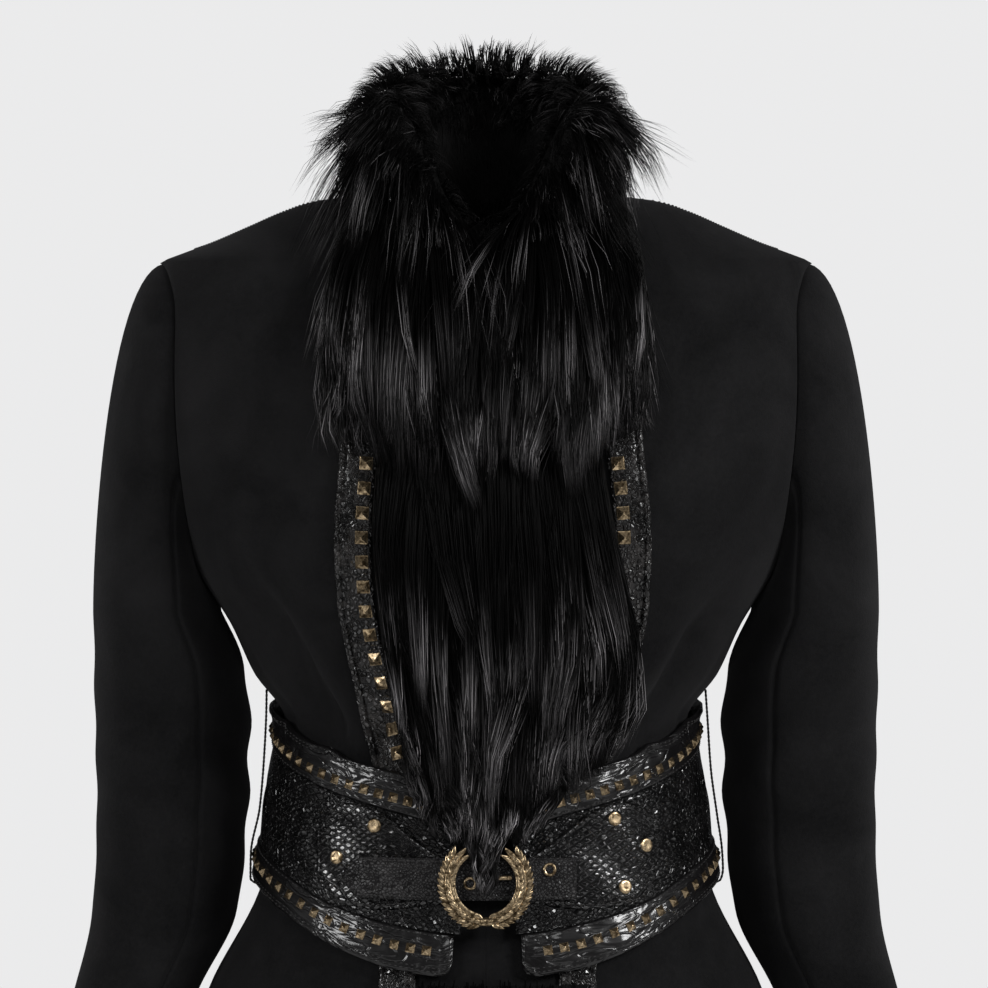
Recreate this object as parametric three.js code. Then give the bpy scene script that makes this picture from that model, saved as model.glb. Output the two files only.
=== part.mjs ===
// A black suede shearling jacket, worn, with a fur collar, fur strips down both front edges,
// studded trim strips beside the fur, and a wide belt of leather and embossed skin with a ring buckle.
// Millimetres, +Z up, +X to the wearer's left, the front faces -Y. The origin is between the neck points
// of the two shoulder seams, where the neck holds the jacket.
import * as THREE from "three";

// Driving sizes
const SEAM = 0.3; // between pieces that are sewn together
const SUEDE = 3; // thickness of the clipped sheepskin wall
const HEM_Z = -650;
const WAIST_Z = -330;
const TIP_Z = -43; // shoulder tip
const UNDERARM_Z = -235;
const NECK_RADIUS = 66; // half the width of the neckline
const NECK_DROP = 50; // front neck point below the side neck points
const CENTRE_GAP = 0.8; // between the two front edges

// Materials
const finish = (color, roughness, metalness) => new THREE.MeshStandardMaterial({ color, roughness, metalness });
const SUEDE_FINISH = finish(0x18181a, 0.95, 0);
const FUR_FINISH = finish(0x0c0c0d, 0.7, 0);
const LEATHER_FINISH = finish(0x141214, 0.4, 0);
const SKIN_FINISH = finish(0x100f11, 0.25, 0);
const BRASS_FINISH = finish(0x8a7448, 0.4, 0.9);
const THREAD_FINISH = finish(0x0a0a0a, 0.9, 0);

// Outline of the body: half width, front depth, back depth and squareness at each height
const BODY = [
  { z: -650, side: 206, front: 138, back: 150, power: 2.1 },
  { z: -580, side: 195, front: 132, back: 143, power: 2.1 },
  { z: -500, side: 174, front: 121, back: 130, power: 2.15 },
  { z: -430, side: 140.5, front: 109, back: 112, power: 2.2 },
  { z: -380, side: 132.5, front: 102, back: 99, power: 2.2 },
  { z: -330, side: 126.5, front: 99, back: 91, power: 2.2 },
  { z: -300, side: 146, front: 105, back: 93, power: 2.25 },
  { z: -270, side: 160, front: 113, back: 97, power: 2.3 },
  { z: -235, side: 181, front: 122, back: 103, power: 2.4 },
  { z: -190, side: 196, front: 125, back: 108, power: 2.45 },
  { z: -140, side: 205, front: 117, back: 111, power: 2.5 },
  { z: -95, side: 209, front: 102, back: 108, power: 2.5 },
  { z: -60, side: 209, front: 86, back: 99, power: 2.4 },
  { z: -43, side: 205, front: 76, back: 91, power: 2.3 },
  { z: -38, side: 194, front: 73.5, back: 87.5, power: 2.25 },
  { z: -30, side: 172, front: 69, back: 82, power: 2.2 },
  { z: -20, side: 149, front: 64, back: 75, power: 2.1 },
  { z: -10, side: 126, front: 59, back: 69, power: 2.1 },
  { z: -4, side: 107, front: 56.5, back: 65, power: 2.1 },
  { z: 0, side: 66, front: 55, back: 62, power: 2.1 },
];

// Folds: signed angle from the centre front at the upper and lower end, half width in degrees, depth out
const FOLDS = [
  { top: -64, bottom: -50, high: -215, low: -352, spread: 5.5, depth: -6.5 },
  { top: -52, bottom: -41, high: -235, low: -352, spread: 6, depth: 3.5 },
  { top: 66, bottom: 53, high: -225, low: -352, spread: 5.5, depth: -5.5 },
  { top: 53, bottom: 44, high: -245, low: -350, spread: 6, depth: 3 },
  { top: 118, bottom: 124, high: -205, low: -350, spread: 7, depth: -5 },
  { top: -121, bottom: -126, high: -215, low: -350, spread: 7, depth: -5.5 },
  { top: 152, bottom: 156, high: -250, low: -345, spread: 6, depth: -3.5 },
  { top: -150, bottom: -154, high: -240, low: -345, spread: 6, depth: -4 },
];

// Flare of the skirt below the belt: waves that grow towards the hem
const FLARE = { from: -440, waves: 9, depth: 7.5, turn: 20 };

// Armhole: an oval on the body's side, its half height and half width in degrees round the body
const ARMHOLE = { power: 2.6, forward: 15.5, backward: 15 };
const ARMHOLE_MID = (TIP_Z + UNDERARM_Z) / 2;
const ARMHOLE_HALF = (TIP_Z - UNDERARM_Z) / 2;
const ARMHOLE_STEPS = 8; // panel rows between underarm and shoulder tip

const RADIAN = Math.PI / 180;
const mix = (a, b, share) => a + (b - a) * share;
const clamp = (x, low, high) => Math.min(high, Math.max(low, x));
const smooth = (x) => {
  const s = clamp(x, 0, 1);
  return s * s * (3 - 2 * s);
};

// Value of one column of a table at a place along another, on a curve that never overshoots its rows
function along(table, key, at, column) {
  const rows = table[0][key] < table[table.length - 1][key] ? table : [...table].reverse();
  const last = rows.length - 1;
  const x = clamp(at, rows[0][key], rows[last][key]);
  let i = 0;
  while (i < last - 1 && x > rows[i + 1][key]) i += 1;
  const slope = (k) => (rows[k + 1][column] - rows[k][column]) / (rows[k + 1][key] - rows[k][key]);
  const tangent = (k) => {
    if (k === 0 || k === last) return slope(clamp(k, 0, last - 1));
    const before = slope(k - 1);
    const after = slope(k);
    return before * after <= 0 ? 0 : (2 * before * after) / (before + after);
  };
  const span = rows[i + 1][key] - rows[i][key];
  const s = (x - rows[i][key]) / span;
  const start = (1 + 2 * s) * (1 - s) ** 2 * rows[i][column] + s * (1 - s) ** 2 * span * tangent(i);
  return start + s * s * (3 - 2 * s) * rows[i + 1][column] + s * s * (s - 1) * span * tangent(i + 1);
}

// How far folds and flare push the cloth out at an angle and height
function foldDepth(angle, z) {
  let depth = 0;
  for (const fold of FOLDS) {
    const share = clamp((fold.high - z) / (fold.high - fold.low), 0, 1);
    const away = (angle - mix(fold.top, fold.bottom, share)) / fold.spread;
    depth += fold.depth * Math.exp(-away * away) * smooth(share * 2.5) * smooth((1 - share) * 6);
  }
  const drop = clamp((FLARE.from - z) / (FLARE.from - HEM_Z), 0, 1);
  return depth + FLARE.depth * drop ** 1.3 * Math.cos(RADIAN * (FLARE.waves * angle + FLARE.turn));
}

// Outer surface of the body at a signed angle from the centre front and a height: a squared ellipse
function skinPoint(angle, z) {
  const front = Math.abs(angle) < 90;
  const side = along(BODY, "z", z, "side");
  const depth = along(BODY, "z", z, front ? "front" : "back");
  const power = along(BODY, "z", z, "power");
  const across = Math.sin(RADIAN * angle);
  const forward = -Math.cos(RADIAN * angle);
  const radius = (Math.abs(across / side) ** power + Math.abs(forward / depth) ** power) ** (-1 / power);
  const reach = radius + foldDepth(angle, z);
  return new THREE.Vector3(reach * across, reach * forward, z);
}

// A point of the body moved out along the surface's normal
function lifted(angle, z, lift) {
  const step = 0.6;
  const high = Math.min(z + step, -0.2);
  const round = skinPoint(angle + step, z).sub(skinPoint(angle - step, z));
  const rise = skinPoint(angle, high).sub(skinPoint(angle, high - 2 * step));
  return skinPoint(angle, z).addScaledVector(round.cross(rise).normalize(), lift);
}

// Angle of the front surface's point at a distance across and a height
function angleAt(across, z) {
  const side = along(BODY, "z", z, "side");
  const depth = along(BODY, "z", z, "front");
  const power = along(BODY, "z", z, "power");
  const share = Math.min(1, Math.abs(across) / side);
  const forward = depth * (1 - share ** power) ** (1 / power);
  return Math.atan2(across, forward) / RADIAN;
}

// Closed geometry from points and faces, turned so that its faces point out
function closedGeometry(points, faces) {
  let volume = 0;
  for (const [a, b, c] of faces) volume += points[a].dot(points[b].clone().cross(points[c]));
  const turned = volume < 0 ? faces.map(([a, b, c]) => [a, c, b]) : faces;
  const geometry = new THREE.BufferGeometry().setFromPoints(points);
  geometry.setIndex(turned.flat());
  geometry.computeVertexNormals();
  return geometry;
}

// Closed wall between an outer and an inner grid of points with the same rows and columns
function wall(outer, inner) {
  const rows = outer.length;
  const columns = outer[0].length;
  const points = [...outer.flat(), ...inner.flat()];
  const at = (layer, i, j) => layer * rows * columns + i * columns + j;
  const faces = [];
  const quad = (a, b, c, d) => faces.push([a, b, c], [a, c, d]);
  for (let i = 0; i < rows - 1; i += 1)
    for (let j = 0; j < columns - 1; j += 1) {
      quad(at(0, i, j), at(0, i, j + 1), at(0, i + 1, j + 1), at(0, i + 1, j));
      quad(at(1, i, j), at(1, i + 1, j), at(1, i + 1, j + 1), at(1, i, j + 1));
    }
  const far = columns - 1;
  const top = rows - 1;
  for (let i = 0; i < top; i += 1) {
    quad(at(0, i, 0), at(0, i + 1, 0), at(1, i + 1, 0), at(1, i, 0));
    quad(at(0, i + 1, far), at(0, i, far), at(1, i, far), at(1, i + 1, far));
  }
  for (let j = 0; j < far; j += 1) {
    quad(at(0, 0, j + 1), at(0, 0, j), at(1, 0, j), at(1, 0, j + 1));
    quad(at(0, top, j), at(0, top, j + 1), at(1, top, j + 1), at(1, top, j));
  }
  return closedGeometry(points, faces);
}

// Closed body through rings of points, with flat ends
function loft(rings) {
  const around = rings[0].length;
  const points = rings.flat();
  const faces = [];
  rings.slice(1).forEach((_, i) => {
    for (let j = 0; j < around; j += 1) {
      const a = i * around + j;
      const b = i * around + ((j + 1) % around);
      faces.push([a, b, b + around], [a, b + around, a + around]);
    }
  });
  const last = (rings.length - 1) * around;
  for (let j = 1; j < around - 1; j += 1) faces.push([0, j + 1, j], [last, last + j, last + j + 1]);
  return closedGeometry(points, faces);
}

// Closed strip through lines of points that run side by side round its section. Lines may hold different
// numbers of points. Peaks stand on the cells between the lines numbered base and base + 1.
function ribbon(lines, base, isPeak, peakPoint) {
  const points = [];
  const numbered = lines.map((line) => line.map(({ share, point }) => ({ share, id: points.push(point) - 1 })));
  const faces = [];
  numbered.forEach((line, n) => {
    const next = numbered[(n + 1) % numbered.length];
    let i = 0;
    let j = 0;
    while (i < line.length - 1 || j < next.length - 1) {
      const peaked = n === base && isPeak(i);
      if (peaked) {
        const id = points.push(peakPoint(i)) - 1;
        const round = [line[i].id, line[i + 1].id, next[j + 1].id, next[j].id];
        round.forEach((corner, k) => faces.push([corner, round[(k + 1) % 4], id]));
        i += 1;
        j += 1;
      } else if (j === next.length - 1 || (i < line.length - 1 && line[i + 1].share <= next[j + 1].share)) {
        faces.push([line[i].id, line[i + 1].id, next[j].id]);
        i += 1;
      } else {
        faces.push([line[i].id, next[j + 1].id, next[j].id]);
        j += 1;
      }
    }
  });
  const first = numbered.map((line) => line[0].id);
  const last = numbered.map((line) => line[line.length - 1].id);
  for (let k = 1; k < first.length - 1; k += 1)
    faces.push([first[0], first[k], first[k + 1]], [last[0], last[k + 1], last[k]]);
  return closedGeometry(points, faces);
}

const jacket = new THREE.Group();
function add(name, geometry, material) {
  const mesh = new THREE.Mesh(geometry, material);
  mesh.name = name;
  jacket.add(mesh);
}
const SIDES = [
  { name: "left", sign: 1 },
  { name: "right", sign: -1 },
];

// Suede panels: two fronts and two backs, from hem to shoulder seam
const SKIRT_ROWS = [HEM_Z, -618, -585, -550, -515, -485, -458, -430];
const WAIST_ROWS = [-402, -372, -348, WAIST_Z, -312, -294, -274, -254];
const SHOULDER_ROWS = [-36, -29, -22, -15, -8.5, -4, -1.2];
const FRONT_COLUMNS = 10;
const BACK_COLUMNS = 8;

// Armhole oval in height and angle at step k of 2 * ARMHOLE_STEPS, taken in by a margin in millimetres
function armholePoint(k, margin) {
  const turn = (Math.PI * k) / ARMHOLE_STEPS;
  const share = -Math.cos(turn);
  const z = ARMHOLE_MID + (ARMHOLE_HALF - margin) * share;
  const width = Math.sin(turn) > 0 ? -ARMHOLE.forward : ARMHOLE.backward;
  const spread = (1 - Math.abs(share) ** ARMHOLE.power) ** (1 / ARMHOLE.power);
  const angle = 90 + (width - Math.sign(width) * margin / (200 * RADIAN)) * spread;
  return { angle, z };
}
const armholeRows = Array.from({ length: ARMHOLE_STEPS + 1 }, (_, k) => k);

function panelRows(isFront) {
  const seamTurn = (z) => SEAM / (skinPoint(90, z).length() * RADIAN);
  const inner = (z) => {
    if (!isFront) return 180 - (SEAM / 2 / (along(BODY, "z", z, "back") * RADIAN));
    const neck = Math.sqrt(Math.max(0, 1 - (z / NECK_DROP) ** 2));
    return z > -NECK_DROP ? angleAt(Math.max(CENTRE_GAP / 2, NECK_RADIUS * neck), z) : angleAt(CENTRE_GAP / 2, z);
  };
  const toSeam = isFront ? -1 : 1;
  const plain = (z) => ({ z, from: inner(z), to: 90 + toSeam * seamTurn(z) });
  const cut = (k) => {
    const { angle, z } = armholePoint(isFront ? k : 2 * ARMHOLE_STEPS - k, 0);
    const to = isFront ? Math.min(angle, 90 - seamTurn(z)) : Math.max(angle, 90 + seamTurn(z));
    return { z, from: inner(z), to };
  };
  return [...SKIRT_ROWS.map(plain), ...WAIST_ROWS.map(plain), ...armholeRows.map(cut), ...SHOULDER_ROWS.map(plain)];
}

function panel(isFront, sign) {
  const columns = isFront ? FRONT_COLUMNS : BACK_COLUMNS;
  const grid = (lift) =>
    panelRows(isFront).map(({ z, from, to }) =>
      Array.from({ length: columns + 1 }, (_, j) => lifted(sign * mix(from, to, j / columns), z, lift)),
    );
  return wall(grid(0), grid(-SUEDE));
}
for (const { name, sign } of SIDES) {
  add(`front_${name}`, panel(true, sign), SUEDE_FINISH);
  add(`back_${name}`, panel(false, sign), SUEDE_FINISH);
}

// Sleeves: inner and outer edge seen from the front, front-to-back half depth and its middle at each height
const SLEEVE = [
  { z: -262, inside: 168, outside: 247, depth: 59, middle: 4 },
  { z: -300, inside: 151.5, outside: 247, depth: 56, middle: 6 },
  { z: -345, inside: 149.5, outside: 246, depth: 53, middle: 8 },
  { z: -400, inside: 151.5, outside: 245.5, depth: 50, middle: 7 },
  { z: -450, inside: 157, outside: 248, depth: 47, middle: 3 },
  { z: -500, inside: 181, outside: 259, depth: 44, middle: -3 },
  { z: -560, inside: 205, outside: 278, depth: 41, middle: -10 },
  { z: -632, inside: 222, outside: 296, depth: 40, middle: -18 },
];
const SLEEVE_ROWS = [-262, -281, -300, -322, -345, -372, -400, -425, -450, -475, -500, -530, -560, -596, -632];
const CAP_ROWS = [0.12, 0.26, 0.42, 0.6, 0.8];
const UNDER_HALF = 3; // steps of the armhole oval on each side of the underarm that the under sleeve takes
const sleeveGirth = { power: 2.25 };

// Ring of the sleeve at a height: k counts the armhole's steps from the underarm, forwards and over the top
function sleevePoint(k, z, inset) {
  const turn = (Math.PI * k) / ARMHOLE_STEPS;
  const inside = along(SLEEVE, "z", z, "inside") + inset;
  const outside = along(SLEEVE, "z", z, "outside") - inset;
  const depth = along(SLEEVE, "z", z, "depth") - inset;
  const bulge = (x) => Math.sign(x) * Math.abs(x) ** (2 / sleeveGirth.power);
  const across = (inside + outside) / 2 - ((outside - inside) / 2) * bulge(Math.cos(turn));
  return new THREE.Vector3(across, along(SLEEVE, "z", z, "middle") - depth * bulge(Math.sin(turn)), z);
}

// Sleeve cap: a curve from the armhole seam that leaves outwards and turns down into the upper arm
function capPoint(k, share, inset) {
  const turn = (Math.PI * k) / ARMHOLE_STEPS;
  const { angle, z } = armholePoint(k, 2 * SEAM + inset);
  const start = skinPoint(angle, z);
  const end = sleevePoint(k, SLEEVE_ROWS[0], inset);
  const leave = new THREE.Vector3(
    0.72 - 0.28 * Math.cos(turn),
    -0.25 * Math.sin(turn),
    -0.55 - 0.3 * Math.cos(turn),
  ).normalize();
  const reach = start.distanceTo(end);
  const s = share;
  return start
    .clone()
    .multiplyScalar((1 + 2 * s) * (1 - s) ** 2)
    .addScaledVector(leave, 0.42 * reach * s * (1 - s) ** 2)
    .addScaledVector(end, s * s * (3 - 2 * s))
    .addScaledVector(new THREE.Vector3(0, 0, -1), 0.85 * reach * s * s * (s - 1));
}

function sleevePiece(sign, from, to) {
  const seamSteps = SEAM / 20;
  const steps = [from + seamSteps];
  for (let k = Math.ceil(from + 0.05); k < to - 0.05; k += 1) steps.push(k);
  steps.push(to - seamSteps);
  const grid = (inset) => {
    const cap = [0, ...CAP_ROWS].map((share) => steps.map((k) => capPoint(k, share, inset)));
    const arm = SLEEVE_ROWS.map((z) => steps.map((k) => sleevePoint(k, z, inset)));
    return [...cap, ...arm].map((row) => row.map((p) => new THREE.Vector3(sign * p.x, p.y, p.z)));
  };
  return wall(grid(0), grid(SUEDE));
}
for (const { name, sign } of SIDES) {
  add(`sleeve_top_${name}`, sleevePiece(sign, UNDER_HALF, 2 * ARMHOLE_STEPS - UNDER_HALF), SUEDE_FINISH);
  add(`sleeve_under_${name}`, sleevePiece(sign, -UNDER_HALF, UNDER_HALF), SUEDE_FINISH);
}

// Fur collar: a thick roll round the neck that stands high at the nape and falls to a V in front.
// Angle from the nape, heights of its foot and top, half its thickness
const COLLAR = [
  { turn: 0, foot: -0.4, top: 92, thick: 29 },
  { turn: 45, foot: -0.4, top: 89, thick: 30 },
  { turn: 90, foot: -0.4, top: 76, thick: 31 },
  { turn: 116, foot: -0.2, top: 66, thick: 30 },
  { turn: 123, foot: -1, top: 60, thick: 29.6 },
  { turn: 130, foot: -5, top: 52, thick: 29 },
  { turn: 142, foot: -20, top: 34, thick: 28 },
  { turn: 156, foot: -34, top: 7, thick: 25 },
  { turn: 177, foot: -45, top: -22, thick: 20 },
];
const COLLAR_PATH = { across: 69, along: 62, back: 5 };
const COLLAR_STATIONS = 26;
const COLLAR_AROUND = 12;
function collarRing(turn) {
  const value = (column) => along(COLLAR, "turn", Math.abs(turn), column);
  const middle = (value("top") + value("foot")) / 2;
  const half = (value("top") - value("foot")) / 2;
  const across = Math.sin(RADIAN * turn);
  const back = Math.cos(RADIAN * turn);
  return Array.from({ length: COLLAR_AROUND }, (_, k) => {
    const spin = (2 * Math.PI * (k + 0.5)) / COLLAR_AROUND;
    const out = value("thick") * Math.sign(Math.cos(spin)) * Math.abs(Math.cos(spin)) ** 0.85;
    const up = half * Math.sign(Math.sin(spin)) * Math.abs(Math.sin(spin)) ** 0.8;
    const sunk = up < 0 && out < -0.5 * value("thick");
    const neckline = NECK_DROP * Math.min(0, back) - 4;
    const rise = sunk ? Math.min(middle + up, neckline + (middle + up - value("foot")) * 0.3) : middle + up;
    return new THREE.Vector3((COLLAR_PATH.across + out) * across, COLLAR_PATH.back + (COLLAR_PATH.along + out) * back, rise);
  });
}
const collarTurns = Array.from({ length: COLLAR_STATIONS + 1 }, (_, i) => mix(-177, 177, i / COLLAR_STATIONS));
add("fur_collar", loft(collarTurns.map(collarRing)), FUR_FINISH);

// Fur strips down the front edges: reach across at each height, how far out the fur stands,
// and how far its back lies off the suede. Upper tier, lower tier and the strip below the belt.
const FUR_UPPER = {
  left: [
    { z: -170, across: 84, out: 20 },
    { z: -152, across: 95, out: 29 },
    { z: -110, across: 98, out: 33 },
    { z: -60, across: 96, out: 26 },
    { z: -30, across: 88, out: 12 },
  ],
  right: [
    { z: -170, across: 86, out: 20 },
    { z: -152, across: 96, out: 29 },
    { z: -110, across: 99, out: 33 },
    { z: -60, across: 96, out: 26 },
    { z: -30, across: 88, out: 12 },
  ],
};
const FUR_LOWER = {
  left: [
    { z: -415, across: 6, out: 21, back: 13.5 },
    { z: -397, across: 8.5, out: 24, back: 13 },
    { z: -389, across: 22, out: 26, back: 10.5 },
    { z: -372, across: 42, out: 28, back: 10.5 },
    { z: -354, across: 64, out: 30, back: 10 },
    { z: -335, across: 82, out: 31, back: 6.5 },
    { z: -300, across: 93, out: 31, back: 5.6 },
    { z: -250, across: 86, out: 27, back: 5.6 },
    { z: -205, across: 76, out: 24, back: 5.6 },
    { z: -173, across: 70, out: 20, back: 5.6 },
  ],
  right: [
    { z: -415, across: 6, out: 21, back: 13.5 },
    { z: -397, across: 8.5, out: 24, back: 13 },
    { z: -389, across: 22, out: 26, back: 10.5 },
    { z: -372, across: 38, out: 28, back: 10.5 },
    { z: -354, across: 46, out: 30, back: 10 },
    { z: -335, across: 51, out: 31, back: 6.5 },
    { z: -300, across: 58, out: 31, back: 5.6 },
    { z: -250, across: 66, out: 27, back: 5.6 },
    { z: -205, across: 68, out: 24, back: 5.6 },
    { z: -173, across: 65, out: 20, back: 5.6 },
  ],
};
const FUR_SKIRT = {
  left: [
    { z: -648, across: 60, out: 18 },
    { z: -600, across: 64, out: 24 },
    { z: -540, across: 65, out: 25 },
    { z: -505, across: 64, out: 21 },
    { z: -484, across: 60, out: 11 },
  ],
  right: [
    { z: -648, across: 44, out: 18 },
    { z: -600, across: 46, out: 24 },
    { z: -540, across: 45, out: 25 },
    { z: -505, across: 43, out: 21 },
    { z: -484, across: 41, out: 11 },
  ],
};
const FUR_EDGE = 2.5; // thickness at a fur strip's edge
const PAD_BACK = 4; // clears the trim strip under the upper tier

// Fur pad on the front: its top slants up to the shoulder by a rise, its sides and ends are rounded
function furPad(rows, sign, steps, columns, topRise, back) {
  const low = rows[0].z;
  const high = rows[rows.length - 1].z;
  const edgeGap = 0.6;
  const place = (share, i, isOuter) => {
    const level = mix(low, high, i / steps);
    const z = level + topRise(share) * smooth((level - low) / (high - low));
    const across = mix(edgeGap, along(rows, "z", level, "across"), share);
    const behind = rows[0].back === undefined ? back : along(rows, "z", level, "back");
    const ends = Math.min(1, (i / steps) * 6, (1 - i / steps) * 6 + 0.35);
    const sides = 1 - Math.abs(2 * share - 1) ** 4;
    const round = FUR_EDGE + (along(rows, "z", level, "out") - behind - FUR_EDGE) * Math.sqrt(sides) * Math.sqrt(ends);
    return lifted(angleAt(sign * across, z), z, isOuter ? behind + round : behind);
  };
  const grid = (isOuter) =>
    Array.from({ length: steps + 1 }, (_, i) =>
      Array.from({ length: columns + 1 }, (__, j) => place((1 - Math.cos((Math.PI * j) / columns)) / 2, i, isOuter)),
    );
  return wall(grid(true), grid(false));
}
const lapelRise = (share) => -18 + 30 * share ** 1.5;
const noRise = () => 0;
for (const { name, sign } of SIDES) {
  add(`fur_upper_${name}`, furPad(FUR_UPPER[name], sign, 8, 7, lapelRise, PAD_BACK), FUR_FINISH);
  add(`fur_lower_${name}`, furPad(FUR_LOWER[name], sign, 13, 7, noRise, 0), FUR_FINISH);
  add(`fur_skirt_${name}`, furPad(FUR_SKIRT[name], sign, 8, 5, noRise, 4), FUR_FINISH);
}

// Pyramid studs are set in a row, this wide, this high and this far apart
const TRIM_STUD = { width: 7.6, height: 2.8, pitch: 14.6 };
const BELT_STUD = { width: 5.4, height: 2.2, pitch: 9.4 };

// Trim strips of embossed skin beside the fur: outer edge across at each height
const TRIM = {
  left: [
    { z: -648, across: 74 },
    { z: -560, across: 68 },
    { z: -480, across: 66 },
    { z: -430, across: 67 },
    { z: -360, across: 74 },
    { z: -318, across: 84 },
    { z: -280, across: 93 },
    { z: -250, across: 98 },
    { z: -215, across: 99 },
    { z: -154, across: 94 },
    { z: -60, across: 90 },
  ],
  right: [
    { z: -648, across: 74 },
    { z: -560, across: 68 },
    { z: -480, across: 64 },
    { z: -430, across: 63 },
    { z: -360, across: 67 },
    { z: -318, across: 75 },
    { z: -280, across: 84 },
    { z: -250, across: 89 },
    { z: -215, across: 90.5 },
    { z: -154, across: 87 },
    { z: -60, across: 86 },
  ],
};
const TRIM_WIDTH = 22;
const TRIM_BACK = 1.7;
const TRIM_THICK = 1.6;
const TRIM_STUD_IN = 16.5; // stud row's middle, in from the strip's outer edge
const STUDDED = {
  left: [{ from: -226, to: -176 }],
  right: [
    { from: -640, to: -492 },
    { from: -345, to: -176 },
  ],
};

function trimStrip(rows, studded, sign) {
  const bottom = rows[0].z;
  const top = rows[rows.length - 1].z;
  const at = (inset, z, lift) => lifted(angleAt(sign * (along(rows, "z", z, "across") - inset), z), z, lift);
  const coarse = Array.from({ length: 40 }, (_, i) => mix(bottom, top, i / 39));
  const studs = [];
  for (const { from, to } of studded)
    for (let z = from; z <= to; z += TRIM_STUD.pitch) studs.push(z);
  const plain = coarse.filter((z) => studs.every((stud) => Math.abs(z - stud) > TRIM_STUD.pitch / 2));
  const starts = studs.map((z) => z - TRIM_STUD.width / 2);
  const fine = [...plain, ...starts, ...studs.map((z) => z + TRIM_STUD.width / 2)].sort((a, b) => a - b);
  const line = (levels, inset, lift) => levels.map((z) => ({ share: z, point: at(inset, z, lift) }));
  const high = TRIM_BACK + TRIM_THICK;
  const lines = [
    line(coarse, 0, high),
    line(fine, TRIM_STUD_IN - TRIM_STUD.width / 2, high),
    line(fine, TRIM_STUD_IN + TRIM_STUD.width / 2, high),
    line(coarse, TRIM_WIDTH, high),
    line(coarse, TRIM_WIDTH, TRIM_BACK),
    line(coarse, 0, TRIM_BACK),
  ];
  const isPeak = (i) => starts.includes(fine[i]);
  const peak = (i) => at(TRIM_STUD_IN, (fine[i] + fine[i + 1]) / 2, high + TRIM_STUD.height);
  return ribbon(lines, 1, isPeak, peak);
}
for (const { name, sign } of SIDES) add(`trim_${name}`, trimStrip(TRIM[name], STUDDED[name], sign), SKIN_FINISH);

// Belt: heights of its edges and seams at each angle from the centre front
const BELT = [
  { angle: 0, top: -363, upper: -391, lower: -455, bottom: -481 },
  { angle: 13, top: -362, upper: -389.5, lower: -453, bottom: -479 },
  { angle: 26, top: -358, upper: -383, lower: -449, bottom: -475 },
  { angle: 38, top: -353, upper: -377, lower: -443, bottom: -467 },
  { angle: 49, top: -347, upper: -370.5, lower: -435, bottom: -457 },
  { angle: 61, top: -339, upper: -362.5, lower: -423, bottom: -445 },
  { angle: 75, top: -327, upper: -353, lower: -412, bottom: -434 },
  { angle: 90, top: -318, upper: -344, lower: -404, bottom: -427 },
  { angle: 130, top: -311, upper: -337, lower: -398, bottom: -421 },
  { angle: 180, top: -308, upper: -334, lower: -395, bottom: -418 },
];
const BELT_BACK = 4.2; // clears the trim strips
const BELT_THICK = 3.2;
const BAND_ENDS = { top: [3, 4], middle: [9, 7.5], bottom: [10.5, 9.5] }; // left and right front ends, degrees
const BELT_GIRTH = 729;
const beltAngle = (turn) => (turn > 180 ? turn - 360 : turn);
const beltEdge = (turn, column) => along(BELT, "angle", Math.abs(beltAngle(turn)), column);
const beltPoint = (turn, z, lift) => lifted(beltAngle(turn), z, lift);

// Leather band of the belt with a row of studs along its middle
function studdedBand(upper, lower, [leftEnd, rightEnd], studShare) {
  const from = leftEnd;
  const to = 360 - rightEnd;
  const pitch = (360 * BELT_STUD.pitch) / BELT_GIRTH;
  const count = Math.floor((to - from - 2 * pitch) / pitch);
  const first = (from + to - (count - 1) * pitch) / 2;
  const half = (pitch * BELT_STUD.width) / BELT_STUD.pitch / 2;
  const studs = Array.from({ length: count }, (_, n) => first + n * pitch);
  const fine = [from, ...studs.flatMap((turn) => [turn - half, turn + half]), to];
  const coarse = Array.from({ length: 45 }, (_, i) => mix(from, to, i / 44));
  const heightAt = (turn, share) => mix(beltEdge(turn, lower), beltEdge(turn, upper), share) - 3 * SEAM * (share - 0.5);
  const studRise = BELT_STUD.width / 2;
  const line = (turns, share, rise, lift) =>
    turns.map((turn) => ({ share: turn, point: beltPoint(turn, heightAt(turn, share) + rise, lift) }));
  const high = BELT_BACK + BELT_THICK;
  const lines = [
    line(coarse, 0, 0, high),
    line(fine, studShare, -studRise, high),
    line(fine, studShare, studRise, high),
    line(coarse, 1, 0, high),
    line(coarse, 1, 0, BELT_BACK),
    line(coarse, 0, 0, BELT_BACK),
  ];
  const isPeak = (i) => i % 2 === 1 && i < fine.length - 2;
  const peak = (i) => {
    const turn = (fine[i] + fine[i + 1]) / 2;
    return beltPoint(turn, heightAt(turn, studShare), high + BELT_STUD.height);
  };
  return ribbon(lines, 1, isPeak, peak);
}
add("belt_top_band", studdedBand("top", "upper", BAND_ENDS.top, 0.36), LEATHER_FINISH);
add("belt_bottom_band", studdedBand("lower", "bottom", BAND_ENDS.bottom, 0.45), LEATHER_FINISH);

// Middle band of embossed skin
function middleBand() {
  const columns = 44;
  const rows = 3;
  const [leftEnd, rightEnd] = BAND_ENDS.middle;
  const grid = (lift) =>
    Array.from({ length: rows + 1 }, (_, i) =>
      Array.from({ length: columns + 1 }, (__, j) => {
        const turn = mix(leftEnd, 360 - rightEnd, j / columns);
        const low = beltEdge(turn, "lower") + 1.5 * SEAM;
        const high = beltEdge(turn, "upper") - 1.5 * SEAM;
        return beltPoint(turn, mix(low, high, i / rows), lift);
      }),
    );
  return wall(grid(BELT_BACK + BELT_THICK), grid(BELT_BACK));
}
add("belt_middle_band", middleBand(), SKIN_FINISH);

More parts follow.
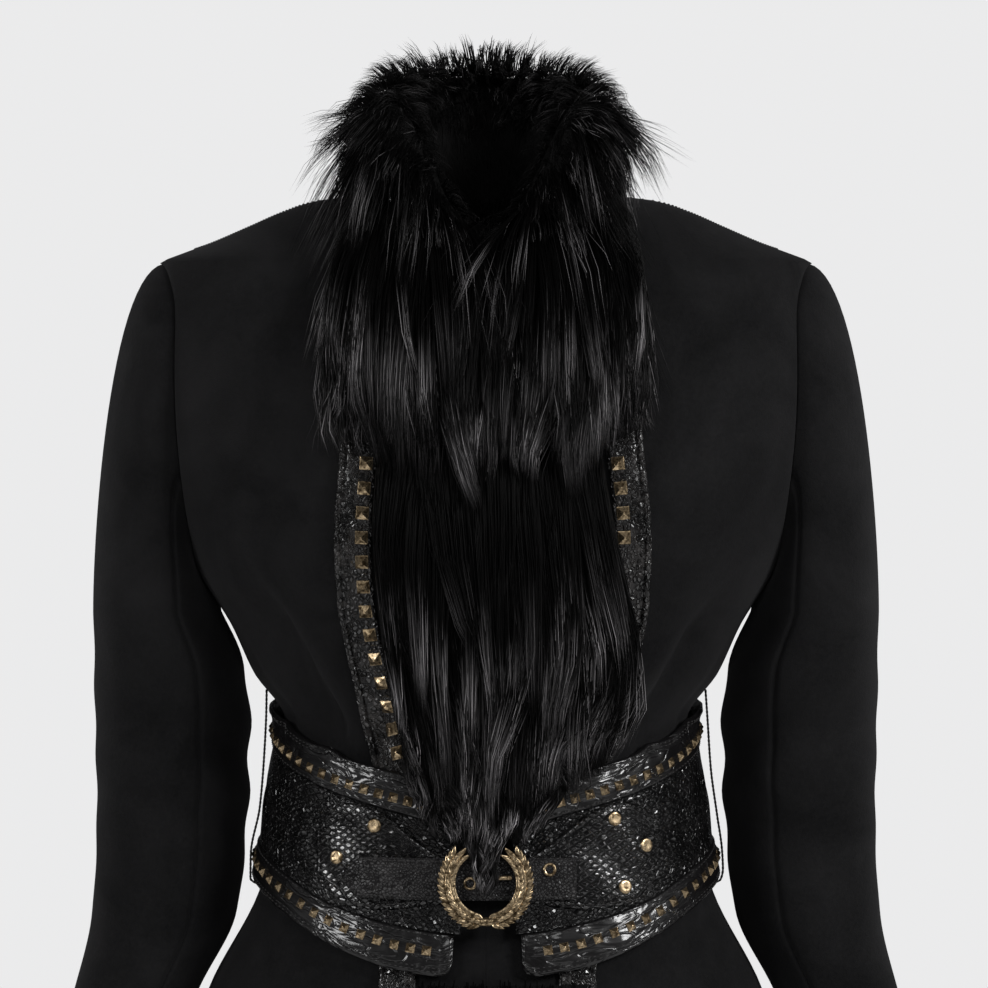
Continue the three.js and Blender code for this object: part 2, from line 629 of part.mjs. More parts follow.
// A flat piece on the belt between two curves of height over a stretch across the front
function beltPatch(from, to, columns, highAt, lowAt, base, thick) {
  const grid = (lift) =>
    [0, 0.5, 1].map((share) =>
      Array.from({ length: columns + 1 }, (_, j) => {
        const across = mix(from, to, j / columns);
        const z = mix(lowAt(across), highAt(across), share);
        return lifted(angleAt(across, z), z, base);
      }).map((p, j) => {
        const across = mix(from, to, j / columns);
        const z = mix(lowAt(across), highAt(across), share);
        return lifted(angleAt(across, z), z, lift);
      }),
    );
  return wall(grid(base + thick), grid(base));
}

// Yokes riveted to the belt's front ends, wide at the rivets and narrow at the buckle
const BUCKLE_Z = -421.5;
const STRAP = { half: 12.5, thick: 2.2, tip: -81, tipLength: 9 };
const YOKE = { thick: 1.6, near: 20, far: 98, spread: 31 };
const BELT_FACE = BELT_BACK + BELT_THICK + 2 * SEAM;
function yoke(sign) {
  const spread = (across) => {
    const share = smooth((Math.abs(across) - YOKE.near) / 52);
    const corner = smooth((YOKE.far - Math.abs(across)) / 14);
    return mix(13.5, YOKE.spread, share) * mix(0.45, 1, corner);
  };
  const middle = (across) => BUCKLE_Z + 14 * smooth((Math.abs(across) - YOKE.near) / 60);
  const from = sign > 0 ? YOKE.near : -YOKE.far;
  const to = sign > 0 ? YOKE.far : -YOKE.near;
  return beltPatch(from, to, 12, (x) => middle(x) + spread(x), (x) => middle(x) - spread(x), BELT_FACE, YOKE.thick);
}
add("belt_yoke_left", yoke(1), SKIN_FINISH);
add("belt_yoke_right", yoke(-1), SKIN_FINISH);

// Strap that runs from the left yoke under the ring to its point on the right
const STRAP_BASE = BELT_FACE + YOKE.thick + 2 * SEAM;
const strapHalf = (across) => STRAP.half * clamp((across - STRAP.tip) / STRAP.tipLength, 0.18, 1);
add(
  "belt_strap",
  beltPatch(STRAP.tip, 52, 14, (x) => BUCKLE_Z + strapHalf(x), (x) => BUCKLE_Z - strapHalf(x), STRAP_BASE, STRAP.thick),
  SKIN_FINISH,
);

// Buckle: a ring open at the top, in front of the strap, with a prong across to the strap's hole
const RING = { radius: 22.8, wide: 5.4, deep: 3.2, half: 150, around: 8, stations: 36 };
const faceY = (z) => lifted(0, z, STRAP_BASE + STRAP.thick + 2 * SEAM).y;
const RING_Y = faceY(BUCKLE_Z) - RING.deep;
const RING_LEAN = (faceY(BUCKLE_Z + 15) - faceY(BUCKLE_Z - 15)) / 30;
function buckleRing() {
  const rings = Array.from({ length: RING.stations + 1 }, (_, i) => {
    const turn = RADIAN * mix(-RING.half, RING.half, i / RING.stations);
    const taper = Math.min(1, 0.35 + (1 - Math.abs(2 * i / RING.stations - 1)) * 6);
    return Array.from({ length: RING.around }, (__, k) => {
      const spin = (2 * Math.PI * k) / RING.around;
      const reach = RING.radius + RING.wide * taper * Math.cos(spin);
      const up = -reach * Math.cos(turn);
      const out = RING.deep * taper * Math.sin(spin);
      return new THREE.Vector3(reach * Math.sin(turn), RING_Y + RING_LEAN * up - out, BUCKLE_Z + up);
    });
  });
  return loft(rings);
}
add("buckle_ring", buckleRing(), BRASS_FINISH);

const PRONG = { radius: 1.4, from: 16, to: 7 };
const prong = new THREE.CylinderGeometry(PRONG.radius, PRONG.radius, PRONG.from - PRONG.to, 8);
prong.rotateZ(Math.PI / 2);
prong.translate((PRONG.from + PRONG.to) / 2, RING_Y + RING.deep - PRONG.radius, BUCKLE_Z + 3);
add("buckle_prong", prong, BRASS_FINISH);

// Rivets and eyelets: place across and up, and the lift of the piece that they sit on
const RIVET = { radius: 4.3, thick: 1.4, sides: 16 };
const RIVETS = [
  { name: "rivet_left_upper", across: 74, z: -386 },
  { name: "rivet_left_outer", across: 92, z: -403 },
  { name: "rivet_left_lower", across: 80, z: -427.5 },
  { name: "rivet_right_upper", across: -64, z: -390 },
  { name: "rivet_right_outer", across: -85.5, z: -410 },
];
function frameAt(across, z, lift) {
  const angle = angleAt(across, z);
  const foot = lifted(angle, z, lift);
  const out = lifted(angle, z, lift + 1).sub(foot).normalize();
  return { foot, turn: new THREE.Quaternion().setFromUnitVectors(new THREE.Vector3(0, 1, 0), out) };
}
for (const { name, across, z } of RIVETS) {
  const { foot, turn } = frameAt(across, z, STRAP_BASE + RIVET.thick / 2 + 0.4);
  const head = new THREE.CylinderGeometry(RIVET.radius * 0.9, RIVET.radius, RIVET.thick, RIVET.sides);
  add(name, head.applyQuaternion(turn).translate(foot.x, foot.y, foot.z), BRASS_FINISH);
}
const EYELET = { hole: 2.3, rim: 4.2, thick: 0.9 };
const EYELETS = [
  { name: "eyelet_ring", across: -9, z: -424 },
  { name: "eyelet_strap", across: 36.5, z: -416 },
];
for (const { name, across, z } of EYELETS) {
  const { foot, turn } = frameAt(across, z, STRAP_BASE + STRAP.thick + SEAM + 0.2);
  const rim = [
    [EYELET.hole, 0],
    [EYELET.rim, 0],
    [EYELET.rim * 0.85, EYELET.thick],
    [EYELET.hole, EYELET.thick * 0.8],
    [EYELET.hole, 0],
  ].map(([r, h]) => new THREE.Vector2(r, h));
  const eyelet = new THREE.LatheGeometry(rim, 12);
  add(name, eyelet.applyQuaternion(turn).translate(foot.x, foot.y, foot.z), BRASS_FINISH);
}

// Thread loops at the side seams that carry the belt: taut on the right, slack on the left
const THREAD_RADIUS = 0.65;
const THREAD_SIDES = 3;
const LOOPS = [
  {
    name: "belt_loop_left",
    points: [
      [138.2, -311],
      [139.5, -330],
      [141.5, -360],
      [145.5, -390],
      [148.6, -412],
      [149.2, -424],
      [147.5, -431],
      [142.6, -433],
    ],
  },
  {
    name: "belt_loop_right",
    points: [
      [-138.2, -311],
      [-138.4, -324],
      [-139.6, -350],
      [-142.5, -385],
      [-148.2, -415],
      [-148.4, -430],
      [-143.5, -434],
    ],
  },
];
for (const { name, points } of LOOPS) {
  const path = new THREE.CatmullRomCurve3(points.map(([x, z]) => new THREE.Vector3(x, 0, z)));
  const round = new THREE.Shape().absarc(0, 0, THREAD_RADIUS, 0, 2 * Math.PI);
  const options = { steps: 16, curveSegments: THREAD_SIDES, extrudePath: path, bevelEnabled: false };
  add(name, new THREE.ExtrudeGeometry(round, options), THREAD_FINISH);
}

export default jacket;
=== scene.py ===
import bpy
import numpy as np
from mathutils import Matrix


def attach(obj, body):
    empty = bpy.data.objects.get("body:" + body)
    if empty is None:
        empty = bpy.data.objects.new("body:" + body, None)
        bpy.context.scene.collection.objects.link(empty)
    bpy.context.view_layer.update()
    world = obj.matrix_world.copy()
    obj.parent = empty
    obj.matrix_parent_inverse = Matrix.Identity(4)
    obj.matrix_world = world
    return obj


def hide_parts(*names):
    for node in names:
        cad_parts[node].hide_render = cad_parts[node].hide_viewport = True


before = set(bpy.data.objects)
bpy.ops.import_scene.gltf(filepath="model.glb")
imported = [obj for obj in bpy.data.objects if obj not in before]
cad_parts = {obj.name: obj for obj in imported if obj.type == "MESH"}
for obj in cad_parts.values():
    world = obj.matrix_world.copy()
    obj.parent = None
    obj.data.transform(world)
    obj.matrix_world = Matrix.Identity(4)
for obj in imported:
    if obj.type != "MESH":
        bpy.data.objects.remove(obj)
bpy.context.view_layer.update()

# The body of the jacket: two fronts and two backs of black sheepskin, suede outside and clipped wool
# inside, cut close at the waist with a flared skirt. The belt cinches them into soft folds above it,
# and they are sewn together at the sides, the shoulders and the centre back.
TURN = np.pi / 180
SUEDE = 3.0
WAIST, CHEST, HEM = -430, -235, -650
BODY = np.array([  # height, half width, front depth, back depth, squareness, in millimetres
    (HEM, 206, 138, 150, 2.1), (-580, 195, 132, 143, 2.1), (-500, 174, 121, 130, 2.15),
    (WAIST, 140.5, 109, 112, 2.2), (-380, 132.5, 102, 99, 2.2), (-330, 126.5, 99, 91, 2.2),
    (-300, 146, 105, 93, 2.25), (-270, 160, 113, 97, 2.3), (CHEST, 181, 122, 103, 2.4),
    (-190, 196, 125, 108, 2.45), (-140, 205, 117, 111, 2.5), (-95, 209, 102, 108, 2.5),
    (-60, 209, 86, 99, 2.4), (-43, 205, 76, 91, 2.3), (-38, 194, 73.5, 87.5, 2.25), (-30, 172, 69, 82, 2.2),
    (-20, 149, 64, 75, 2.1), (-10, 126, 59, 69, 2.1), (-4, 107, 56.5, 65, 2.1), (0, 66, 55, 62, 2.1),
])
FOLDS = np.array([  # angle at the top and at the bottom, height of each end, half width in degrees, depth
    (-64, -50, -215, -352, 5.5, -6.5), (-52, -41, -235, -352, 6, 3.5), (66, 53, -225, -352, 5.5, -5.5),
    (53, 44, -245, -350, 6, 3), (118, 124, -205, -350, 7, -5), (-121, -126, -215, -350, 7, -5.5),
    (152, 156, -250, -345, 6, -3.5), (-150, -154, -240, -345, 6, -4),
    # the sharper creases in the folds
    (-63, -50.5, -200, -350, 1.9, -2.6), (-67.5, -55, -205, -345, 3.2, 3.0),
    (-36, -33, -275, -350, 2.6, -1.6),
    (64, 53, -232, -350, 1.9, -2.4), (69, 58, -225, -345, 3.2, 2.6), (38, 35, -282, -350, 2.6, -1.4),
    (-77, -71, -262, -345, 2.2, -1.7), (78, 72, -268, -345, 2.2, -1.6), (104, 108, -255, -345, 2.4, -1.8),
    (-106, -110, -250, -345, 2.4, -1.8), (135, 139, -262, -345, 2.6, -1.8),
    (-137, -140, -258, -345, 2.6, -1.8),
    (168, 168, -285, -345, 2.5, -1.3), (-167, -168, -280, -345, 2.5, -1.4),
])


def curve(at, rows, column):
    """Monotone cubic through a table's rows: place in column 0, value in the given column."""
    rows = rows[np.argsort(rows[:, 0])]
    x, y = rows[:, 0], rows[:, column]
    slope = np.diff(y) / np.diff(x)
    product = slope[:-1] * slope[1:]
    total = slope[:-1] + slope[1:]
    inner = np.where(product <= 0, 0, 2 * product / np.where(total == 0, 1, total))
    tangent = np.concatenate([slope[:1], inner, slope[-1:]])
    at = np.clip(at, x[0], x[-1])
    i = np.clip(np.searchsorted(x, at, side="right") - 1, 0, len(x) - 2)
    span = x[i + 1] - x[i]
    s = (at - x[i]) / span
    start = (1 + 2 * s) * (1 - s) ** 2 * y[i] + s * (1 - s) ** 2 * span * tangent[i]
    return start + s * s * (3 - 2 * s) * y[i + 1] + s * s * (s - 1) * span * tangent[i + 1]


def smooth(x):
    """Soft step from 0 to 1."""
    x = np.clip(x, 0, 1)
    return x * x * (3 - 2 * x)


def bell(x, middle, spread):
    """Bell of height 1 round a middle."""
    return np.exp(-(((x - middle) / spread) ** 2))


def unit(v):
    """Vectors scaled to length 1."""
    return v / np.maximum(1e-9, np.linalg.norm(v, axis=-1, keepdims=True))


def fold_depth(angle, z):
    """How far out the cloth stands: each fold is a bell across its slanting line, fading at its ends,
    and the skirt's flare is a wave round the body that grows towards the hem."""
    depth = 0
    for top, bottom, high, low, spread, deep in FOLDS:
        share = np.clip((high - z) / (high - low), 0, 1)
        away = (angle - top - (bottom - top) * share) / spread
        depth = depth + deep * np.exp(-away * away) * smooth(share * 2.5) * smooth((1 - share) * 6)
    drop = np.clip((-440 - z) / 210, 0, 1)
    return depth + 7.5 * drop**1.3 * np.cos(TURN * (9 * angle + 20))


def skin(angle, z, lift=0.0):
    """Point of the suede's face at a signed angle from the centre front and a height: a squared
    ellipse with the folds added, moved out along the surface's normal by the lift."""

    def face(angle, z):
        side = curve(z, BODY, 1)
        depth = np.where(np.abs(angle) < 90, curve(z, BODY, 2), curve(z, BODY, 3))
        power = curve(z, BODY, 4)
        across, forward = np.sin(TURN * angle), -np.cos(TURN * angle)
        reach = (np.abs(across / side) ** power + np.abs(forward / depth) ** power) ** (-1 / power)
        reach = reach + fold_depth(angle, z)
        return np.stack([reach * across, reach * forward, z + 0 * reach], -1)

    angle, z, lift = np.broadcast_arrays(*(np.asarray(v, float) for v in (angle, z, lift)))
    high = np.minimum(z + 0.6, -0.2)
    along_angle = face(angle + 0.6, z) - face(angle - 0.6, z)
    normal = np.cross(along_angle, face(angle, high) - face(angle, high - 1.2))
    normal /= np.linalg.norm(normal, axis=-1, keepdims=True)
    return face(angle, z) + lift[..., None] * normal


def angle_at(across, z):
    """Angle of the front's point at a distance across and a height."""
    power = curve(z, BODY, 4)
    share = np.minimum(1, np.abs(across) / curve(z, BODY, 1))
    return np.arctan2(across, curve(z, BODY, 2) * (1 - share**power) ** (1 / power)) / TURN


def shell(outer, inner):
    """Closed wall between two grids: their quads, the inner ones turned round, and four edges."""
    rows, columns = outer.shape[:2]
    number = np.arange(rows * columns).reshape(rows, columns)

    def quads(a, b, c, d):
        return np.stack([a.ravel(), b.ravel(), c.ravel(), d.ravel()], 1)

    face = quads(number[:-1, :-1], number[:-1, 1:], number[1:, 1:], number[1:, :-1])
    back = face[:, ::-1] + number.size
    rim = np.concatenate([number[0, ::-1], number[1:, 0], number[-1, 1:], number[-2:0:-1, -1]])
    after = np.roll(rim, -1)
    faces = np.concatenate([face, back, quads(rim, after, after + number.size, rim + number.size)])
    points = np.concatenate([outer.reshape(-1, 3), inner.reshape(-1, 3)])
    corner = points[faces]
    volume = np.einsum("ij,ij->", corner[:, 0], np.cross(corner[:, 1], corner[:, 2]))
    volume += np.einsum("ij,ij->", corner[:, 0], np.cross(corner[:, 2], corner[:, 3]))
    return points, [faces if volume > 0 else faces[:, ::-1]]


def make(name, points, faces, materials, slot, replaces=(), uv=None, parts=None, flat=False):
    """Mesh object from points in millimetres and face arrays, riding on the jacket."""
    mesh = bpy.data.meshes.new(name)
    mesh.vertices.add(len(points))
    mesh.vertices.foreach_set("co", (points / 1000).astype(np.float32).ravel())
    corners = np.concatenate([f.ravel() for f in faces]).astype(np.int32)
    sizes = np.concatenate([np.full(len(f), f.shape[1]) for f in faces])
    mesh.loops.add(len(corners))
    mesh.loops.foreach_set("vertex_index", corners)
    mesh.polygons.add(len(sizes))
    mesh.polygons.foreach_set("loop_start", (np.cumsum(sizes) - sizes).astype(np.int32))
    mesh.polygons.foreach_set("use_smooth", np.full(len(sizes), not flat))
    if parts is not None:
        mesh.polygons.foreach_set("material_index", parts.astype(np.int32))
    if uv is not None:
        mesh.uv_layers.new(name="UVMap").data.foreach_set("uv", uv[corners].astype(np.float32).ravel())
    mesh.update(calc_edges=True)
    mesh.validate()
    for material in materials:
        mesh.materials.append(material)
    made = bpy.data.objects.new(name, mesh)
    bpy.context.scene.collection.objects.link(made)
    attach(made, "root")
    if replaces:
        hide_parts(*replaces)
    return made


def put(value, socket):
    """Feed a socket with a plain value, or link it from a socket or from a node's own result."""
    if isinstance(value, bpy.types.Node):
        value = value.outputs[2 if value.bl_idname == "ShaderNodeMix" else 0]
    if isinstance(value, bpy.types.NodeSocket):
        socket.id_data.links.new(value, socket)
    else:
        socket.default_value = value


def nodes_in(tree):
    """A function that adds nodes to a tree. Values given in order fill the first sockets, names with a
    capital fill the sockets of that name, and the other names are the node's settings."""

    def node(kind, *values, **named):
        new = tree.nodes.new("ShaderNode" + kind)
        for key, value in named.items():
            if key[0].islower():
                setattr(new, key, value)
        for i, value in enumerate(values):
            put(value, new.inputs[i])
        for key, value in named.items():
            if key[0].isupper():
                put(value, new.inputs[key.replace("_", " ")])
        return new

    return node


def blend(node, amount, dark, light):
    """Colour between two, by an amount from 0 to 1."""
    mix = node("Mix", amount, data_type="RGBA")
    put(dark, mix.inputs[6])
    put(light, mix.inputs[7])
    return mix


def finish_of(name, **values):
    """New material with its shader's own values set, and functions that add nodes and feed its shader."""
    material = bpy.data.materials.new(name)
    material.use_nodes = True
    shader = material.node_tree.nodes["Principled BSDF"]

    def feed(**looks):
        for key, value in looks.items():
            put(value, shader.inputs[key.replace("_", " ")])

    feed(**values)
    return material, nodes_in(material.node_tree), feed


def group_of(name, ins, outs):
    """New shader node group with named float, vector or colour sockets."""
    tree = bpy.data.node_groups.new(name, "ShaderNodeTree")
    for label, kind, value in ins:
        socket = tree.interface.new_socket(label, in_out="INPUT", socket_type="NodeSocket" + kind)
        if value is not None:
            socket.default_value = value
    for label, kind in outs:
        tree.interface.new_socket(label, in_out="OUTPUT", socket_type="NodeSocket" + kind)
    given = tree.nodes.new("NodeGroupInput").outputs
    results = tree.nodes.new("NodeGroupOutput").inputs
    return tree, nodes_in(tree), given, results


# Nap of suede: brushed patches, soft stains of wear and a fine pile, as a colour, a roughness and a height.
nap, node, given, results = group_of(
    "suede_nap",
    [("Dark", "Color", (0, 0, 0, 1)), ("Light", "Color", (0, 0, 0, 1)), ("Patch", "Float", 14.0)],
    [("Color", "Color"), ("Roughness", "Float"), ("Height", "Float")],
)
place = node("TexCoord").outputs["Object"]
brushed = node("TexNoise", Vector=place, Scale=given["Patch"], Detail=6.0, Roughness=0.62, Distortion=0.5)
grain = node("TexNoise", Vector=place, Scale=420.0, Detail=3.0, Roughness=0.7)
pile = node("TexNoise", Vector=place, Scale=1500.0, Detail=2.0)
tone = node("MapRange", brushed, 0.32, 0.7, 0.0, 0.82)
speck = node("MapRange", grain, 0.3, 0.75, -0.12, 0.3)
both = node("Math", tone, speck, operation="ADD", use_clamp=True)
put(blend(node, both, given["Dark"], given["Light"]), results["Color"])
put(node("MapRange", both, 0.0, 1.0, 0.98, 0.82), results["Roughness"])
put(node("Math", grain, pile, operation="ADD"), results["Height"])

suede, node, feed = finish_of("black_suede", Sheen_Weight=0.04, Sheen_Roughness=0.5, Specular_IOR_Level=0.06)
coat = node("Group", node_tree=nap, Dark=(0.0032, 0.0032, 0.0034, 1), Light=(0.0085, 0.0083, 0.0087, 1))
bump = node("Bump", Height=coat.outputs["Height"], Strength=0.35, Distance=0.0006)
feed(Base_Color=coat.outputs["Color"], Roughness=coat.outputs["Roughness"], Normal=bump)
feed(Sheen_Tint=(0.55, 0.54, 0.56, 1))

wool, node, feed = finish_of("clipped_wool", Roughness=0.95, Sheen_Weight=0.3, Specular_IOR_Level=0.2)
place = node("TexCoord").outputs["Object"]
curls = node("TexVoronoi", Vector=place, Scale=260.0, feature="SMOOTH_F1")
tufts = node("TexNoise", Vector=place, Scale=700.0, Detail=3.0)
bump = node("Bump", Height=node("Math", curls, tufts, operation="ADD"), Strength=0.9, Distance=0.003)
feed(Base_Color=blend(node, curls, (0.006, 0.006, 0.006, 1), (0.016, 0.015, 0.015, 1)), Normal=bump)

thread, node, feed = finish_of("black_thread", Roughness=0.6, Specular_IOR_Level=0.4)
place = node("TexCoord").outputs["Object"]
twist = node("TexWave", Vector=place, Scale=1400.0, bands_direction="DIAGONAL").outputs[1]
bump = node("Bump", Height=twist, Strength=0.5, Distance=0.0003)
feed(Base_Color=blend(node, twist, (0.006, 0.006, 0.006, 1), (0.03, 0.028, 0.028, 1)), Normal=bump)


def armhole(k, margin):
    """Angle and height on the armhole's oval at step k of 16 from the underarm, forwards and over."""
    turn = np.pi * k / 8
    share = -np.cos(turn)
    width = np.where(np.sin(turn) > 0, -15.5, 15.0)
    spread = np.maximum(0, 1 - np.abs(share) ** 2.6) ** (1 / 2.6)
    return 90 + (width - np.sign(width) * margin / (200 * TURN)) * spread, -139 + (96 - margin) * share


def scatter(template, places, side, up, out):
    """Copies of a small closed shape, its X, Y and Z laid along three unit ways at each place."""
    points = places[:, None] + template[None, :, :1] * side[:, None] + template[None, :, 1:2] * up[:, None]
    return (points + template[None, :, 2:] * out[:, None]).reshape(-1, 3)


def repeated(faces, corners, count):
    """The faces of count copies of a shape that has that many corners."""
    return [(f[None] + (np.arange(count) * corners)[:, None, None]).reshape(-1, f.shape[1]) for f in faces]


def laid(template, places, out, along):
    """Copies of a shape standing on a surface, its Y along the running way and its Z outwards."""
    side = unit(np.cross(along, out))
    return scatter(template, places, side, np.cross(out, side), out)


def placed(spot, at, lift, step):
    """Places, outward ways and running ways at steps along a line, from its points at a lift."""
    foot = spot(at, lift)
    return foot, unit(spot(at, lift + 1) - foot), unit(spot(at + step, lift) - foot)


def joined(lines):
    """Several lines of places and ways put together as one."""
    return (np.concatenate(rows) for rows in zip(*lines))


def walls(rows, columns):
    """Quads round a tube of numbered rings."""
    number = np.arange(rows * columns).reshape(rows, columns)
    after = np.roll(number, -1, axis=1)
    return np.stack([number[:-1].ravel(), after[:-1].ravel(), after[1:].ravel(), number[1:].ravel()], 1)


def stitches(name, place, out, along, long=2.3, thick=0.42):
    """A row of stitches: short lozenges of thread with the ends sunk into the leather."""
    ring = np.array([(0, -1), (1, 0), (0, 1), (-1, 0)], float)
    points = [
        np.column_stack([ring[:, 0] * thick * r, np.full(4, y * long), ring[:, 1] * thick * r + z])
        for y, r, z in [(-0.5, 0.3, -0.25), (-0.2, 1.0, 0.12), (0.2, 1.0, 0.12), (0.5, 0.3, -0.25)]
    ]
    faces = [np.concatenate([walls(4, 4)[:, [1, 2, 3, 0]], [[3, 2, 1, 0]], [[12, 13, 14, 15]]])]
    points = laid(np.concatenate(points), place, out, along)
    return make(name, points, repeated(faces, 16, len(place)), [thread], "thread")


def seam_columns(count):
    """Shares across a panel, closer at the seams, where the suede rolls in towards the stitches."""
    edge = np.array([0, 0.004, 0.009, 0.016, 0.026])
    return np.concatenate([edge, np.linspace(0.04, 0.96, count), 1 - edge[::-1]])


def seam_roll(share, length):
    """Dip of 1.3 mm beside a seam, fading within about 3 mm."""
    gap = np.minimum(share, 1 - share) * length
    return -1.3 * bell(gap, 0, 2.0)


def skin_piece(name, outer, inner):
    """A panel of sheepskin: suede on the outer grid and wool on the inner one."""
    points, faces = shell(outer, inner)
    kinds = np.zeros(len(faces[0]))
    cells = (outer.shape[0] - 1) * (outer.shape[1] - 1)
    kinds[cells : 2 * cells] = 1
    return make(name + "_suede", points, faces, [suede, wool], "suede", [name], parts=kinds)


SEAM_GAP = 0.002
NECK_WIDTH, NECK_DEPTH, FRONT_GAP = 66, 50, 0.004
levels = np.concatenate([np.linspace(HEM, WAIST, 30)[:-1], np.linspace(WAIST, CHEST, 42)[:-1]])
hole = np.linspace(0, 8, 41)
shoulder = -1.2 - 41.8 * np.linspace(1, 0, 20)[1:] ** 1.2
panel_cut = {  # flat size as cut and flat area, in metres, measured along the surface
    "front": (0.335, 0.69, 0.142), "back": (0.345, 0.70, 0.150),
}
for side, sign in (("left", 1), ("right", -1)):
    for part in ("front", "back"):
        front = part == "front"
        cut_angle, cut_z = armhole(hole if front else 16 - hole, 0)
        z = np.concatenate([levels, cut_z, shoulder])
        seam = SEAM_GAP / (np.linalg.norm(skin(90 + 0 * z, z), axis=1) * TURN)
        to = np.where(front, 90 - seam, 90 + seam)
        cut = slice(len(levels), len(levels) + len(hole))
        to[cut] = np.minimum(cut_angle, to[cut]) if front else np.maximum(cut_angle, to[cut])
        if front:
            neck = NECK_WIDTH * np.sqrt(np.maximum(0, 1 - (z / NECK_DEPTH) ** 2))
            start = angle_at(np.where(z > -NECK_DEPTH, np.maximum(FRONT_GAP, neck), FRONT_GAP), z)
        else:
            start = 180 - SEAM_GAP / (curve(z, BODY, 3) * TURN)
        share = seam_columns(38)
        angle = sign * (start[:, None] + (to - start)[:, None] * share)
        height = z[:, None] + 0 * angle
        roll = seam_roll(share[None, :], 220) * np.where(front & (share < 0.5)[None, :], 0, 1)
        panel = skin_piece(f"{part}_{side}", skin(angle, height, roll), skin(angle, height, -SUEDE))
        width, length, area = panel_cut[part]
    row = -34.0 + 31.5 * (np.arange(0, 46) / 45.5) ** 1.15
    for part, turn in (("front", 1), ("back", -1)):

        def beside_seam(z, lift):
            """Point 5.5 mm from the shoulder's seam."""
            return skin(sign * (90 - turn * 5.5 / (curve(z, BODY, 1) * TURN)), z, lift)

        stitches(f"shoulder_{part}_{side}_stitches", *placed(beside_seam, row, 0.1, 0.2), long=2.1)

# Sleeves: two pieces each, a wide top sleeve and a narrow under sleeve with seams down the front and
# the back of the arm, eased into the armhole. They hang with a soft bend and slack creases at the elbow.
UNDERARM, CUFF = -262, -632
SLEEVE = np.array([  # height, inner edge, outer edge, half depth and its middle
    (UNDERARM, 168, 247, 59, 4), (-300, 151.5, 247, 56, 6), (-345, 149.5, 246, 53, 8),
    (-400, 151.5, 245.5, 50, 7), (-450, 157, 248, 47, 3), (-500, 181, 259, 44, -3),
    (-560, 205, 278, 41, -10), (CUFF, 222, 296, 40, -18),
])


def arm_ring(k, z):
    """Squared ellipse of the sleeve at a height, with slack creases round the elbow."""
    turn = np.pi * k / 8
    slack = 1.5 * bell(z, -360, 60) * np.sin((z + 14 * np.cos(turn + 0.5)) / 7.5)
    slack = slack + 1.1 * bell(z, -285, 45) * np.sin((z - 26 * np.sin(turn)) / 11)
    slack = slack + 0.9 * bell(z, -600, 45) * np.sin((z + 18 * np.cos(turn - 1)) / 8)
    slack = slack * (0.35 + 0.65 * smooth(0.5 + 0.5 * np.cos(turn - 0.6)))
    inside, outside = curve(z, SLEEVE, 1), curve(z, SLEEVE, 2)
    bulge = [np.sign(v) * np.abs(v) ** (2 / 2.25) for v in (np.cos(turn), np.sin(turn))]
    across = (inside + outside) / 2 - ((outside - inside) / 2 + slack) * bulge[0]
    forward = curve(z, SLEEVE, 4) - (curve(z, SLEEVE, 3) + slack) * bulge[1]
    return np.stack([across, forward, z + 0 * across], -1)


def cap(k, share):
    """Sleeve head: a cubic from the armhole seam, leaving outwards, to the arm's first ring."""
    turn = np.pi * k / 8
    angle, z = armhole(k, -1.2)
    start, end = skin(angle, z, -1.6 * (1 - share) ** 4), arm_ring(k, UNDERARM + 0 * k)
    leave = np.stack([0.72 - 0.28 * np.cos(turn), -0.25 * np.sin(turn), -0.55 - 0.3 * np.cos(turn)], -1)
    leave /= np.linalg.norm(leave, axis=-1, keepdims=True)
    reach = np.linalg.norm(start - end, axis=-1)[..., None]
    s = share[..., None]
    path = (1 + 2 * s) * (1 - s) ** 2 * start + 0.42 * reach * s * (1 - s) ** 2 * leave
    path = path + s * s * (3 - 2 * s) * end
    return path + 0.85 * reach * s * s * (s - 1) * np.array([0, 0, -1.0])


sleeve_cut = {"top": (0.235, 0.62, 0.112), "under": (0.125, 0.46, 0.052)}
for side, sign in (("left", 1), ("right", -1)):
    for part, first, last, columns, girth in (("top", 3, 13, 50, 200), ("under", -3, 3, 30, 115)):
        share = seam_columns(columns)
        k = first + (last - first) * share[None, :]
        head = np.linspace(0, 1, 26)[:-1, None]
        arm = np.linspace(UNDERARM, CUFF, 76)[:, None]
        outer = [cap(k + 0 * head, head + 0 * k), arm_ring(k + 0 * arm, arm + 0 * k)]
        outer = np.concatenate(outer) * [sign, 1, 1]
        inward = unit(np.cross(np.gradient(outer, axis=0), np.gradient(outer, axis=1)))
        inward = inward * np.sign(np.sum(inward * (outer.mean((0, 1)) - outer)))
        dip = seam_roll(share, girth)[None, :, None]
        sleeve = skin_piece(f"sleeve_{part}_{side}", outer - inward * dip, outer + inward * SUEDE)
        width, length, area = sleeve_cut[part]

# Fur collar and front strips: long black hair on a soft pelt. The pelt is a dark cushion inside the
# hair, and the hair is joined closed strands that lean with the pelt's flow and gather into locks.
NECK_WIDE, NECK_DEEP, NECK_MIDDLE = 69, 62, 5
COLLAR = np.array([  # turn from the nape, heights of its foot and top, half its thickness
    (0, -0.4, 92, 29), (45, -0.4, 89, 30), (90, -0.4, 76, 31), (116, -0.2, 66, 30), (123, -1, 60, 29.6),
    (130, -5, 52, 29), (142, -20, 34, 28), (156, -34, 7, 25), (177, -45, -22, 20),
])


